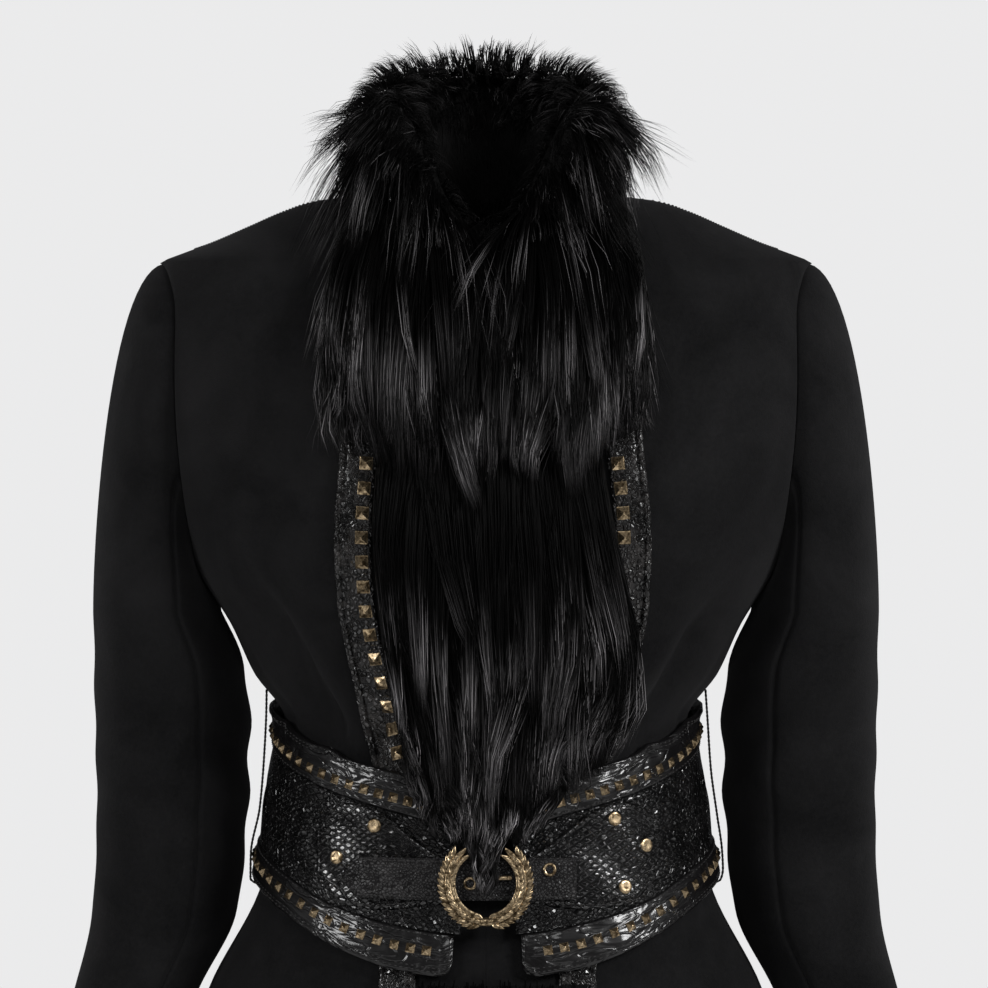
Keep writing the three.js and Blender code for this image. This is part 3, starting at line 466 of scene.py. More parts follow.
def collar(turn, spin, short):
    """Point on the collar's roll: a squared oval section carried round the neck, smaller by short."""
    foot, top, thick = (curve(np.abs(turn), COLLAR, n) for n in (1, 2, 3))
    across, back = np.sin(TURN * turn), np.cos(TURN * turn)
    cosine, sine = np.cos(spin), np.sin(spin)
    out = (thick - short) * np.sign(cosine) * np.abs(cosine) ** 0.85
    rise = (top + foot) / 2 + ((top - foot) / 2 - 0.9 * short) * np.sign(sine) * np.abs(sine) ** 0.8
    sunk = (sine < 0) & (cosine < -0.45)
    neckline = 50 * np.minimum(0, back) - 12
    rise = np.where(sunk, np.minimum(rise, neckline + (rise - foot) * 0.3), rise)
    return np.stack([(NECK_WIDE + out) * across, NECK_MIDDLE + (NECK_DEEP + out) * back, rise], -1)


def hide(turn, spin, short):
    """The collar's hide under the hair: its outline from the front is rounded at the upper corners."""
    beside = bell(np.abs(turn), 88, 34)
    bend = np.where(spin > np.pi, spin - 2 * np.pi, spin)
    inset = short + beside * (2 + 9 * bell(bend, 0.95, 0.75))
    return collar(turn, spin, inset * (0.4 + 0.6 * smooth((bend + 1.25) / 0.8)))


def normals_of(surface, a, b, step_a, step_b, inside):
    """Outward unit normals and the unit way of the second parameter, from small steps."""
    along_a = surface(a + step_a, b) - surface(a - step_a, b)
    along_b = surface(a, b + step_b) - surface(a, b - step_b)
    normal = unit(np.cross(along_a, along_b))
    facing = np.sum(normal * (surface(a, b) - inside), -1, keepdims=True)
    return normal * np.where(facing < 0, -1, 1), unit(along_b)


# The hair's colour is painted highlight. It is near black at the root, rises to pale grey from about a third
# of the way along, is strongest at seven tenths and fades towards the tip. Its strength is the map's U, and
# the specular and roughness follow the same amount.
fur, node, feed = finish_of("black_fur")
tone, way = node("SeparateXYZ", node("TexCoord").outputs["UV"]).outputs[:2]
highlight_rise = node("MapRange", way, 0.36, 0.7, 0.0, 1.0, interpolation_type="SMOOTHSTEP")
highlight_fade = node("MapRange", way, 0.82, 1.0, 1.0, 0.3, interpolation_type="SMOOTHSTEP")
amount = node("Math", node("Math", highlight_rise, highlight_fade, operation="MULTIPLY"), tone, operation="MULTIPLY")
feed(Base_Color=blend(node, amount, (0.0014, 0.0013, 0.0013, 1), (0.5, 0.477, 0.49, 1)))
feed(Specular_IOR_Level=node("MapRange", amount, 0.0, 0.5, 0.06, 0.6))
feed(Roughness=node("MapRange", amount, 0.0, 0.5, 0.5, 0.3))

pelt, node, feed = finish_of("fur_pelt", Roughness=0.7, Specular_IOR_Level=0.08)
drawn = node("Mapping", Vector=node("TexCoord").outputs["Object"], Scale=(900, 900, 90))
streaks = node("TexNoise", Vector=drawn, Scale=1.0, Detail=4.0)
bump = node("Bump", Height=streaks, Strength=1.0, Distance=0.004)
feed(Base_Color=blend(node, streaks, (0.0008, 0.0008, 0.0008, 1), (0.004, 0.0037, 0.0038, 1)), Normal=bump)


def leaders(root, locks, rng):
    """Each strand's nearest leading strand, which its lock gathers round."""
    lead = rng.choice(len(root), locks, replace=False)
    return lead[np.argmin(((root[:, None] - root[None, lead]) ** 2).sum(-1), axis=1)]


def strands(name, nodes, own, s, normal, owner, loose, clump, width, dark, rng):
    """Closed strands along their own paths, drawn towards the leading strand's path on the way to the
    tip. Each has a flat triangular section and narrows to a point. The map's U is the strength of the
    strand's painted highlight, lowered by dark, and its V the way from root to tip."""
    count, steps = own.shape[:2]
    pull = clump * s**1.4 * ~loose[:, None, None]
    path = own * (1 - pull) + (own[owner] + rng.normal(0, 0.5, (count, 1, 3))) * pull
    path = path + rng.normal(0, 1.0, (count, 1, 3)) * s**2
    tangent = unit(np.gradient(path, axis=1))
    side = unit(np.cross(tangent, normal[:, None]))
    up = np.cross(side, tangent)
    thick = (width * rng.uniform(0.7, 1.25, count))[:, None, None] * (1 - s) ** 0.6
    spin = np.array([np.pi / 2, 7 * np.pi / 6, 11 * np.pi / 6])
    rings = [path + thick * (side * np.cos(a) + up * 0.55 * np.sin(a)) for a in spin]
    body = np.stack(rings, 2)[:, :-1].reshape(count, -1, 3)
    points = np.concatenate([body, path[:, -1:]], 1)
    each = points.shape[1]
    ring = np.arange(3)
    last_ring = 3 * (steps - 2)
    point = np.stack([last_ring + ring, last_ring + (ring + 1) % 3, np.full(3, each - 1)], 1)
    faces = repeated([walls(steps - 1, 3), np.concatenate([point, [[2, 1, 0]]])], each, count)
    # Painted highlight strength: high on a few locks and on a few strands within them, and lowered by dark
    # where painted shade is wanted.
    highlight_strength = rng.beta(0.7, 1.3, count)[owner] * (0.05 + 0.95 * rng.uniform(0, 1, count) ** 2.6)
    tone = np.clip(highlight_strength * (1 - dark), 0, 1)
    way = np.concatenate([np.repeat(s[0, :-1, 0], 3), [1]])
    uv = np.stack([np.repeat(tone, each), np.tile(way, count)], 1)
    return make(name, points.reshape(-1, 3), faces, [fur], "fur", nodes, uv=uv)


def tube(rings):
    """Closed tube through rings of points, capped at both ends."""
    rows, columns = rings.shape[:2]
    first, last = np.arange(columns), np.arange((rows - 1) * columns, rows * columns)
    return rings.reshape(-1, 3), [walls(rows, columns)[:, [0, 3, 2, 1]], first[None, :], last[None, ::-1]]


# The collar stands high at the nape, folds over like a roll, and falls to a V at the front.
turn, spin = np.meshgrid(np.linspace(-177, 177, 90), np.linspace(0, 2 * np.pi, 41)[:-1], indexing="ij")
lump = 1.6 * np.sin(turn / 7 + 3 * spin) + 1.2 * np.sin(turn / 3.1 - 5 * spin)
points, faces = tube(hide(turn, spin, 11.5 + 0.6 * lump))
make("collar_pelt", points, [f[:, ::-1] for f in faces], [pelt], "fur", ["fur_collar"])

for name, count, least, spins, locks in (
    ("hair", 8800, 0, (-1.3, 4.0), 800), ("locks", 2900, 96, (-1.35, 1.7), 150),
):
    rng = np.random.default_rng(11 + least)
    turn = rng.uniform(least, 176, count) * rng.choice([-1, 1], count)
    spin = rng.uniform(*spins, count)
    crown = rng.uniform(0, 1, count) < 0.24 * (name == "hair")
    turn = np.where(crown, rng.uniform(-75, 75, count), turn)
    spin = np.where(crown, rng.uniform(0.9, 2.3, count), spin)
    beside = bell(np.abs(turn), 88, 34)
    corner = beside * bell(spin, 0.95, 0.75)
    root = hide(turn, spin, 10)
    middle_z = (curve(np.abs(turn), COLLAR, 1) + curve(np.abs(turn), COLLAR, 2)) / 2
    middle = [NECK_WIDE * np.sin(TURN * turn), NECK_MIDDLE + NECK_DEEP * np.cos(TURN * turn), middle_z]
    normal, over = normals_of(lambda a, b: hide(a, b, 10), turn, spin, 0.5, 0.02, np.stack(middle, -1))
    front, outer = smooth((np.abs(turn) - 92) / 40), smooth((2.6 - spin) / 0.9)
    top, nape = bell(spin, 1.6, 0.9), bell(turn, 0, 42)
    drift = np.sign(turn) * (0.12 - 0.4 * smooth((np.abs(turn) - 145) / 20))
    down = np.stack([drift, -0.12 + 0 * turn, -1.3 + 0 * turn], -1)
    flow = over * np.where(spin < 1.9 + 0.5 * front, -0.8, 0.8)[:, None] + (front * outer)[:, None] * down
    flow = unit(flow)
    length = 26 + 12 * top * nape + 8 * front * outer - 8 * smooth((spin - 2.6) / 0.5) - 2 * corner
    length = length * rng.uniform(0.7, 1.1, count)
    lying = 0.24 * beside * smooth((0.9 - spin) / 0.6) * (1 - front)
    stand = 0.66 + 0.24 * top * (1 - front) - 0.34 * front * outer - lying
    if name == "locks":
        length = rng.uniform(34, 58, count)
        longer = 105 * rng.uniform(0, 1, count)[leaders(root, 500, rng)]
        length = length + longer * smooth((np.abs(turn) - 105) / 25)
        stand = 0.42 - 0.2 * front
    owner = leaders(root, locks, rng)
    loose = rng.uniform(0, 1, count) < 0.04
    s = np.array([0, 0.3, 0.65, 1.0])[None, :, None]
    lean = rng.normal(0, 0.05, (count, 3)) + 0.15 * rng.normal(0, 1, (count, 3))[owner]
    lean = lean + loose[:, None] * rng.normal(0, 0.15, (count, 3))
    first = unit(normal * stand[:, None] + flow * (1 - stand[:, None]) + lean)[:, None]
    last = unit(flow + 0.35 * normal * stand[:, None] + 0.6 * lean + [0, 0, -0.2])[:, None]
    reach = (length * rng.uniform(0.8, 1.12, count)[owner])[:, None, None]
    own = root[:, None] + reach * (first * (s - s * s / 2) + last * (s * s / 2))
    own = own + rng.normal(0, 1.8, (count, 1, 3))[owner] * np.sin(3.1 * s)
    own[..., 1] = np.maximum(own[..., 1], -158 + 0.06 * (own[..., 1] + 158))
    # On the collar the painted highlight is kept low, and a little less so on the outer face at the front.
    dark = 0.88 - 0.4 * front * outer
    strands(f"collar_{name}", ["fur_collar"], own, s, normal, owner, loose, 0.5, 0.4, dark, rng)

# Front strips in tiers: the upper tier falls from the collar over the chest, the lower one from under
# it to a point inside the buckle ring, and short ones go on below the belt to the hem.
TIERS = {  # height, reach across, how far out the hair stands, lift of the back
    "upper_left": [
        (-170, 84, 20, 4), (-152, 95, 29, 4), (-110, 98, 33, 4), (-60, 96, 26, 4), (-30, 88, 12, 4),
    ],
    "upper_right": [
        (-170, 86, 20, 4), (-152, 96, 29, 4), (-110, 99, 33, 4), (-60, 96, 26, 4), (-30, 88, 12, 4),
    ],
    "lower_left": [
        (-415, 6, 21, 13.5), (-397, 8.5, 24, 13), (-389, 22, 26, 10.5), (-372, 42, 28, 10.5),
        (-354, 62, 30, 10), (-335, 76, 31, 6.5), (-318, 86, 31, 6), (-296, 91, 31, 5.6),
        (-272, 90, 29, 5.6), (-250, 86, 27, 5.6), (-205, 76, 24, 5.6), (-173, 70, 20, 5.6),
    ],
    "lower_right": [
        (-415, 6, 21, 13.5), (-397, 8.5, 24, 13), (-389, 22, 26, 10.5), (-372, 38, 28, 10.5),
        (-354, 46, 30, 10), (-335, 48, 31, 6.5), (-300, 54.5, 31, 5.6), (-250, 62.5, 27, 5.6),
        (-205, 67, 24, 5.6), (-173, 65, 20, 5.6),
    ],
    "skirt_left": [
        (-648, 60, 18, 4), (-600, 64, 24, 4), (-540, 65, 25, 4), (-505, 64, 21, 4), (-484, 60, 11, 4),
    ],
    "skirt_right": [
        (-648, 44, 18, 4), (-600, 46, 24, 4), (-540, 45, 25, 4), (-505, 43, 21, 4), (-484, 41, 11, 4),
    ],
}
GROWTH = {  # lowest and highest root, strands, locks, drift inwards, longest strand
    "upper": (0.22, 1.06, 3900, 62, 0.0, 112), "lower": (0.0, 1.05, 4200, 74, 0.16, 120),
    "skirt": (0.1, 1.02, 1100, 40, 0.0, 80),
}
ENDS = {  # distance across and the height where the strands end there
    "upper_left": [(0, -184), (25, -172), (48, -188), (66, -172), (80, -162), (98, -158)],
    "upper_right": [(0, -184), (24, -192), (44, -174), (62, -186), (78, -166), (99, -160)],
    "lower_left": [
        (0, -424), (6, -412), (10, -398), (22, -388), (42, -374), (64, -356), (82, -336), (93, -300),
    ],
    "lower_right": [
        (0, -424), (6, -412), (10, -398), (22, -388), (38, -374), (46, -356), (51, -338), (58, -305),
        (63, -262), (66, -225),
    ],
    "skirt_left": [(0, HEM), (66, HEM)], "skirt_right": [(0, HEM), (66, HEM)],
}


def shoulder_slant(share, t):
    """How far the upper tier's top slants up to the shoulder."""
    return (-18 + 30 * share**1.5) * smooth(t)


def pad(tier, sign, share, t, fill):
    """Point of a strip's cushion: across by share, up by t, and out by a part of its thickness,
    which is rounded at its sides and ends."""
    rows = np.array(TIERS[tier], float)
    low, high = rows[0, 0], rows[-1, 0]
    level = low + (high - low) * t
    z = level + shoulder_slant(share, t) * tier.startswith("upper")
    across = 0.2 + (curve(level, rows, 1) - 0.2) * share
    behind = curve(level, rows, 3)
    ends = np.clip(np.minimum(t * 6, (1 - t) * 6 + 0.35), 0, 1)
    sides = 1 - np.abs(2 * share - 1) ** 4
    thick = 2.5 + (curve(level, rows, 2) - behind - 2.5) * np.sqrt(np.maximum(0, sides * ends))
    return skin(angle_at(sign * across, z), z, behind + fill * thick)


for tier, rows in TIERS.items():
    kind, side = tier.split("_")
    upper = kind == "upper"
    sign = 1 if side == "left" else -1
    low, high, count, locks, inward, longest = GROWTH[kind]
    t, share = np.meshgrid(np.linspace(0.02, 1, 36), np.linspace(0, 1, 16), indexing="ij")
    share = (1 - np.cos(np.pi * share)) / 2
    if upper:
        t = 1 - (1 - t) * (0.96 - 0.09 * share**3 + 0.02 * np.sin(17 * share))
    points, faces = shell(pad(tier, sign, share, t, 0.34), pad(tier, sign, share, t, 0.0))
    make(f"{tier}_pelt", points, faces, [pelt], "fur", [f"fur_{tier}"])

    rng = np.random.default_rng(len(tier) * 7 + (sign > 0))
    rows = np.array(rows, float)
    foot, top = rows[0, 0], rows[-1, 0]
    t, share = rng.uniform(low, high, count), 0.985 * rng.uniform(0, 1, count) ** 0.95
    level = foot + (top - foot) * t
    start = level + shoulder_slant(share, np.minimum(t, 1)) * upper
    across = curve(level, rows, 1) * share
    owner = leaders(np.stack([across, level * 0.6, 0 * level], -1), locks, rng)
    ends = curve(across * (1 - 0.15 * (kind == "lower")), np.array(ENDS[tier], float), 1)
    uneven = np.clip(rng.normal(4, 10, count)[owner] + rng.normal(0, 4, count), -6, 34)
    ends = ends + uneven * (1.0 if upper else 0.5)
    short = np.where(rng.uniform(0, 1, count) < 0.3, rng.uniform(0.45, 0.9, count), 1)
    size = np.clip((start - ends) * short, 18, longest * rng.uniform(0.8, 1.05, count)[owner])
    s = np.array([0, 0.1, 0.38, 0.7, 1.0])[None, :]
    z = start[:, None] - size[:, None] * s
    phase = rng.uniform(0, 2 * np.pi, count)[owner][:, None]
    inner = smooth(share / 0.15) * smooth((1 - share) / 0.22)
    slant = rng.normal(0, 7.5, count)[owner] * (0.35 + 0.65 * inner) + rng.normal(0, 2.0, count)
    sway = 2.6 * s * np.sin(phase + 4.4 * s) + (slant * size / 100)[:, None] * s**1.4
    pulled = inward * size * share * smooth((0.8 - t) / 0.5)
    straight = rng.uniform(-348, -318, count)[owner]
    lowest = np.maximum(foot, straight)[:, None]
    spread = curve(np.maximum(z, lowest), rows, 1) / curve(np.maximum(level, straight), rows, 1)[:, None]
    x = across[:, None] * spread - pulled[:, None] * s**1.5 + sway
    stray = rng.uniform(0, 1, (count, 1)) < 0.12 + 0.1 * upper
    x = x + 18 * upper * (stray * share[:, None] * s) ** 2
    x = np.clip(x, -6, across[:, None] * spread + 2.5 + 4 * upper + (9 + 11 * upper) * s * stray)
    held = np.clip(z, foot, top)
    edge = np.clip(np.abs(x) / (curve(held, rows, 1) + 4), 0, 1)
    behind = curve(held, rows, 3)
    full = (curve(held, rows, 2) - behind) * np.sqrt(1 - 0.85 * edge**5)
    layer = 0.62 + 0.2 * rng.uniform(-1, 1, count)[owner] + 0.16 * rng.uniform(-1, 1, count)
    fill = 0.3 + (np.clip(layer, 0.4, 1)[:, None] - 0.3) * smooth(s / 0.2)
    own = skin(angle_at(sign * x, z), z, behind + fill * full)
    normal = unit(own[:, 2] - skin(angle_at(sign * x[:, 2], z[:, 2]), z[:, 2], behind[:, 2]))
    loose = rng.uniform(0, 1, count) < 0.03
    # Painted shade: the lower tier darkens at the top of its roots, under the upper tier. The skirt strips
    # get less painted highlight. The right upper tier is darker than the left, away from the key light.
    dark = 0.85 * smooth((t - 0.9) / 0.09) * (kind == "lower") + 0.4 * (kind == "skirt")
    dark = dark + (0.32 - 0.2 * (sign > 0)) * upper
    strands(f"{tier}_hair", [f"fur_{tier}"], own, s[..., None], normal, owner, loose, 0.56, 0.38, dark, rng)

# Trim strips of python-patterned leather beside the fur, turned over a cord along the outer edge. Square
# pyramid studs of antique brass are clenched through them in a row, close to the fur.
scales, node, given, results = group_of(
    "snake_scales",
    [("Vector", "Vector", None), ("Across", "Float", 0.0), ("Along", "Float", 0.0), ("Uneven", "Float", 0.0)],
    [("Edge", "Float"), ("Height", "Float"), ("Tone", "Float")],
)
size = node("CombineXYZ", given["Across"], given["Along"], 1.0)
bend = node("TexNoise", Vector=given["Vector"], Scale=18.0, Detail=2.0).outputs[1]
shifted = node("VectorMath", bend, (0.014, 0.014, 0), given["Vector"], operation="MULTIPLY_ADD")
cells = node("Mapping", Vector=shifted, Rotation=(0, 0, np.pi / 4), Scale=size)
cell = dict(Vector=cells, Scale=1.0, Randomness=given["Uneven"])
gaps = node("TexVoronoi", feature="DISTANCE_TO_EDGE", **cell)
each = node("TexVoronoi", feature="F1", **cell).outputs["Color"]
put(node("MapRange", gaps, 0.05, 0.16, 1.0, 0.0, interpolation_type="SMOOTHSTEP"), results["Edge"])
put(node("MapRange", gaps, 0.02, 0.26, 0.0, 1.0, interpolation_type="SMOOTHSTEP"), results["Height"])
put(node("SeparateColor", Color=each), results["Tone"])


def snake(name, across, along, uneven, gloss, dark, light, relief):
    """Black leather with a raised scale pattern: dull furrows, polished scales, each its own tone."""
    material, node, feed = finish_of(name, Coat_Weight=0.4 if gloss < 0.3 else 0.0, Coat_Roughness=0.12)
    place = node("TexCoord").outputs["UV"]
    pattern = node("Group", node_tree=scales, Vector=place, Across=across, Along=along, Uneven=uneven).outputs
    worn = node("TexNoise", Vector=place, Scale=60.0, Detail=5.0, Roughness=0.6)
    rub = node("MapRange", worn, 0.4, 0.68, 0.0, 1.0)
    tone = node("Math", rub, pattern["Tone"], operation="MULTIPLY")
    furrow = node("MapRange", pattern["Edge"], 0.0, 1.0, gloss, 0.75)
    rough = node("Math", worn, 0.35, furrow, operation="MULTIPLY_ADD", use_clamp=True)
    fine = node("TexNoise", Vector=place, Scale=900.0, Detail=2.0)
    raised = node("Math", fine, 0.12, pattern["Height"], operation="MULTIPLY_ADD")
    bump = node("Bump", Height=raised, Strength=0.85, Distance=relief)
    feed(Base_Color=blend(node, tone, dark, light), Normal=bump, Coat_Normal=bump)
    feed(Specular_IOR_Level=node("MapRange", pattern["Edge"], 0.0, 1.0, 0.4, 0.02))
    feed(Roughness=node("Math", rough, 0.12, operation="SUBTRACT"))
    return material


black_scale, worn_scale = (0.0022, 0.002, 0.002, 1), (0.042, 0.039, 0.038, 1)
trim_skin = snake("python_trim", 430.0, 330.0, 0.7, 0.16, black_scale, worn_scale, 0.0011)

brass, node, feed = finish_of("antique_brass", Metallic=1.0)
cloud = node("TexNoise", Vector=node("TexCoord").outputs["Object"], Scale=320.0, Detail=4.0, Roughness=0.65)
patina = node("MapRange", cloud, 0.4, 0.64, 0.0, 1.0)
feed(Base_Color=blend(node, patina, (0.05, 0.034, 0.018, 1), (0.52, 0.4, 0.25, 1)))
feed(Roughness=node("MapRange", patina, 0.0, 1.0, 0.5, 0.22))
feed(Normal=node("Bump", Height=cloud, Strength=0.4, Distance=0.0003))

TRIM = {  # height, outer edge across
    "left": [
        (-648, 74), (-560, 68), (-480, 66), (-430, 67), (-360, 74), (-318, 84), (-280, 93), (-250, 98),
        (-215, 99), (-154, 94), (-60, 90),
    ],
    "right": [
        (-648, 74), (-560, 68), (-480, 64), (-430, 63), (-360, 67), (-318, 75), (-280, 84), (-250, 89),
        (-215, 90.5), (-154, 87), (-60, 86),
    ],
}
TRIM_BACK = 1.7
STUD_LINE, STUD_PITCH = 16.5, 14.6
STUD_ROWS = {"left": [(-213.8, -170)], "right": [(-640, -492), (-345.2, -170)]}


def studs_on(name, place, out, along, half, high):
    """One mesh of square pyramid studs, turned to the surface under them: each has a short skirt, a
    bevelled rim and four faces to a small blunt tip."""
    square = np.array([(-1, -1), (1, -1), (1, 1), (-1, 1)], float)
    rings = [(0.9, -1.2), (1.0, 0.1), (0.97, 0.4), (0.86, 0.62), (0.12, high), (0.05, high + 0.05)]
    points = [np.column_stack([square * half * scale, np.full(4, lift)]) for scale, lift in rings]
    faces = [np.concatenate([walls(6, 4), [[20, 21, 22, 23]], [[3, 2, 1, 0]]])]
    points = laid(np.concatenate(points), place, out, along)
    return make(name, points, repeated(faces, 24, len(place)), [brass], "antique_brass", flat=True)


def flat_map(x, z):
    """The map of a sheet's two faces in metres, from its grids of millimetres."""
    return np.tile(np.column_stack([x.ravel(), z.ravel()]) / 1000, (2, 1))


for side, sign in (("left", 1), ("right", -1)):
    rows = np.array(TRIM[side], float)

    def strip(inset, z, lift):
        """Point of the strip at a distance in from its outer edge, a height and a lift."""
        return skin(angle_at(sign * (curve(z, rows, 1) - inset), z), z, lift)

    rolled = [0, 0.25, 0.7, 1.3, 2.0, 2.7, 3.3, 3.8, 4.3, 5.0]
    across = np.concatenate([rolled, np.linspace(6.5, 20.5, 9), [21.5, 22]])
    z = np.linspace(-648, -60, 190)
    cord = 1.7 * np.sqrt(np.maximum(0, 1 - ((across - 2.0) / 2.0) ** 2)) - 0.5 * bell(across, 4.4, 0.5)
    swollen = 0.25 * np.sin(np.pi * np.clip((across - 4.4) / 17, 0, 1))
    crown = 3.1 + cord + swollen - 1.2 * bell(across, 22, 0.5)
    crown[0] = 2.2
    puff = 0.18 * np.sin(z / 5.3) + 0.12 * np.sin(z / 2.9 + 1)
    a, h = np.meshgrid(across, z)
    points, faces = shell(strip(a, h, crown[None, :] + puff[:, None]), strip(a, h, TRIM_BACK))
    looks = ([trim_skin], "python_skin", [f"trim_{side}"])
    piece = make(f"trim_{side}_strip", points, faces, *looks, uv=flat_map(a, h))
    z = np.concatenate([np.arange(low, high + 0.1, STUD_PITCH) for low, high in STUD_ROWS[side]])
    rows_of = placed(lambda z, lift: strip(STUD_LINE, z, lift), z, 3.2, 1)
    studs_on(f"trim_{side}_studs", *rows_of, 4.0, 2.9)

# The wide belt: smooth leather bands at the top and bottom, each edge-stitched with a row of small
# pyramid studs, and a python-patterned band between them. It closes over the fur at the front.
BELT = np.array([  # angle from the centre front, heights of the top, the two seams and the bottom
    (0, -363, -391, -455, -481), (13, -362, -389.5, -453, -479), (26, -358, -383, -449, -475),
    (38, -353, -377, -443, -467), (49, -347, -370.5, -435, -457), (61, -339, -362.5, -423, -445),
    (75, -327, -353, -412, -434), (90, -318, -344, -404, -427), (130, -311, -337, -398, -421),
    (180, -308, -334, -395, -418),
])
BELT_BACK, BELT_FACE = 4.2, 7.4
BAND_HIGH, MIDDLE_HIGH = 26, 64  # heights of a smooth band and of the middle one
PER_DEGREE, FRONT_PER_DEGREE = 2.07, 1.95  # way along the belt for a degree, on the whole and in front


def belt(turn, share, low, high, lift, trimmed=0.0):
    """Point of the belt round the body by turn, up a band by share, between two columns of heights."""
    angle = np.where(turn > 180, turn - 360, turn)
    foot, top = curve(np.abs(angle), BELT, low) + trimmed, curve(np.abs(angle), BELT, high)
    return skin(angle, foot + (top - foot) * share, lift)


leather, node, feed = finish_of("smooth_leather", Specular_IOR_Level=0.14)
feed(Coat_Weight=0.5, Coat_Roughness=0.1)
place = node("TexCoord").outputs["UV"]
pores = node("TexVoronoi", Vector=place, Scale=900.0, feature="DISTANCE_TO_EDGE")
drawn = node("Mapping", Vector=place, Scale=(0.42, 1.0, 1.0), Rotation=(0, 0, 0.35))
wrinkle = node("TexNoise", Vector=drawn, Scale=120.0, Detail=2.0, Roughness=0.45, Distortion=0.5)
beside = node("Math", node("Math", wrinkle, 0.5, operation="SUBTRACT"), operation="ABSOLUTE")
crease = node("MapRange", beside, 0.0, 0.05, 0.0, 0.25, interpolation_type="SMOOTHSTEP")
cloud = node("TexNoise", Vector=place, Scale=35.0, Detail=4.0)
swell = node("Math", wrinkle, 1.6, crease, operation="MULTIPLY_ADD")
raised = node("Math", pores, 0.03, swell, operation="MULTIPLY_ADD")
bump = node("Bump", Height=raised, Strength=0.9, Distance=0.0016)
feed(Base_Color=blend(node, cloud, (0.0014, 0.0013, 0.0014, 1), (0.005, 0.0045, 0.0048, 1)))
feed(Roughness=node("MapRange", wrinkle, 0.3, 0.7, 0.35, 0.5), Normal=bump, Coat_Normal=bump)

end_steps = np.array([0, 0.15, 0.4, 0.8, 1.3, 2, 2.8, 3.7])
rim_steps = np.array([0, 0.012, 0.03, 0.06, 0.09, 0.13, 0.17, 0.21])
for name, low, high, ends, stud_share, lines in (
    ("top", 2, 1, (3, 4), 0.36, (0.91, 0.825, 0.09)),
    ("bottom", 4, 3, (10.5, 9.5), 0.55, (0.09, 0.175, 0.91)),
):
    first, last = ends[0], 360 - ends[1]
    turn = [first + end_steps, np.linspace(first + 5, last - 5, 180), last - end_steps[::-1]]
    share = [rim_steps, np.linspace(0.27, 0.73, 6), 1 - rim_steps[::-1]]
    s, a = np.meshgrid(np.concatenate(share), np.concatenate(turn))
    end = np.minimum(a - first, last - a) * FRONT_PER_DEGREE
    corner = 9 - np.sqrt(np.maximum(0, 81 - np.clip(9 - end, 0, 9) ** 2))
    rim = np.minimum(s, 1 - s) * BAND_HIGH
    stitched = 0.35 * (bell(rim, 2.4, 0.45) + bell(rim, 4.6, 0.45))
    edge = -1.5 * bell(rim, 0, 1.0) - 1.5 * bell(end, 0, 1.0)
    ripple = 0.28 * np.sin(a * 1.9 + 2.2 * np.sin(a / 3)) * np.sin(np.pi * s)
    ripple = ripple + 0.22 * np.sin(a * 0.83 + 4 * s)
    face = BELT_FACE + 0.5 * np.sin(np.pi * s) + edge - stitched + ripple
    cut = corner * (name == "bottom")
    points, faces = shell(*(belt(a, s, low, high, lift, cut) for lift in (face, BELT_BACK)))
    looks = ([leather], "smooth_leather", [f"belt_{name}_band"])
    uv = flat_map(a * PER_DEGREE, s * BAND_HIGH)
    band = make(f"belt_{name}_band_leather", points, faces, *looks, uv=uv)

    def on_band(turn, share, lift):
        """Places and ways of small pieces along the band, at a share of its height."""
        return placed(lambda turn, lift: belt(turn, share, low, high, lift), turn, lift, 0.2)

    pitch = 360 * 9.4 / 729
    count = int((last - first - 2 * pitch) // pitch)
    row = first + (last - first - (count - 1) * pitch) / 2 + pitch * np.arange(count)
    studs_on(f"belt_{name}_studs", *on_band(row, stud_share, BELT_FACE + 0.3), 2.85, 2.5)
    row = np.arange(first + 1.5, last - 1.5, 1.55)
    stitches(f"belt_{name}_stitches", *joined([on_band(row, line + 0 * row, BELT_FACE) for line in lines]))

black_scale, worn_scale = (0.0012, 0.0011, 0.0012, 1), (0.007, 0.0065, 0.0068, 1)
belt_skin = snake("python_belt", 300.0, 380.0, 0.55, 0.22, black_scale, worn_scale, 0.0014)
turn, share = np.meshgrid(np.linspace(9, 352.5, 220), np.linspace(0, 1, 22), indexing="ij")
tuck = 0.8 * bell(share, 0.06, 0.05) + 0.8 * bell(share, 0.94, 0.05)
sag = 0.5 * np.sin(turn / 2.3 + 5 * share) * np.sin(np.pi * share)
sag = sag + 0.45 * np.sin(turn / 1.1 - 7 * share) * bell(share, 0.5, 0.3)
outer = belt(turn, share, 3, 2, BELT_FACE - 0.6 - 0.3 * tuck + sag)
points, faces = shell(outer, belt(turn, share, 3, 2, BELT_BACK))
looks = ([belt_skin], "python_skin", ["belt_middle_band"])
uv = flat_map(turn * PER_DEGREE, share * MIDDLE_HIGH)
band = make("belt_middle_skin", points, faces, *looks, uv=uv)

# The buckle strap and the two yokes that carry it, stitched along their edges and riveted to the belt.
# The yokes are polished, the strap is duller, and it runs under the ring to a point.
BUCKLE_Z = -421.5
YOKE_BACK, YOKE_FACE = 8.0, 9.9
STRAP_BACK, STRAP_FACE = 10.2, 12.4
black_scale, worn_scale = (0.0014, 0.0013, 0.0014, 1), (0.008, 0.0075, 0.0078, 1)
yoke_skin = snake("python_yoke", 230.0, 300.0, 0.35, 0.12, black_scale, worn_scale, 0.0016)
black_scale, worn_scale = (0.007, 0.0066, 0.0068, 1), (0.028, 0.0265, 0.027, 1)
strap_skin = snake("python_strap", 560.0, 640.0, 0.7, 0.38, black_scale, worn_scale, 0.0005)


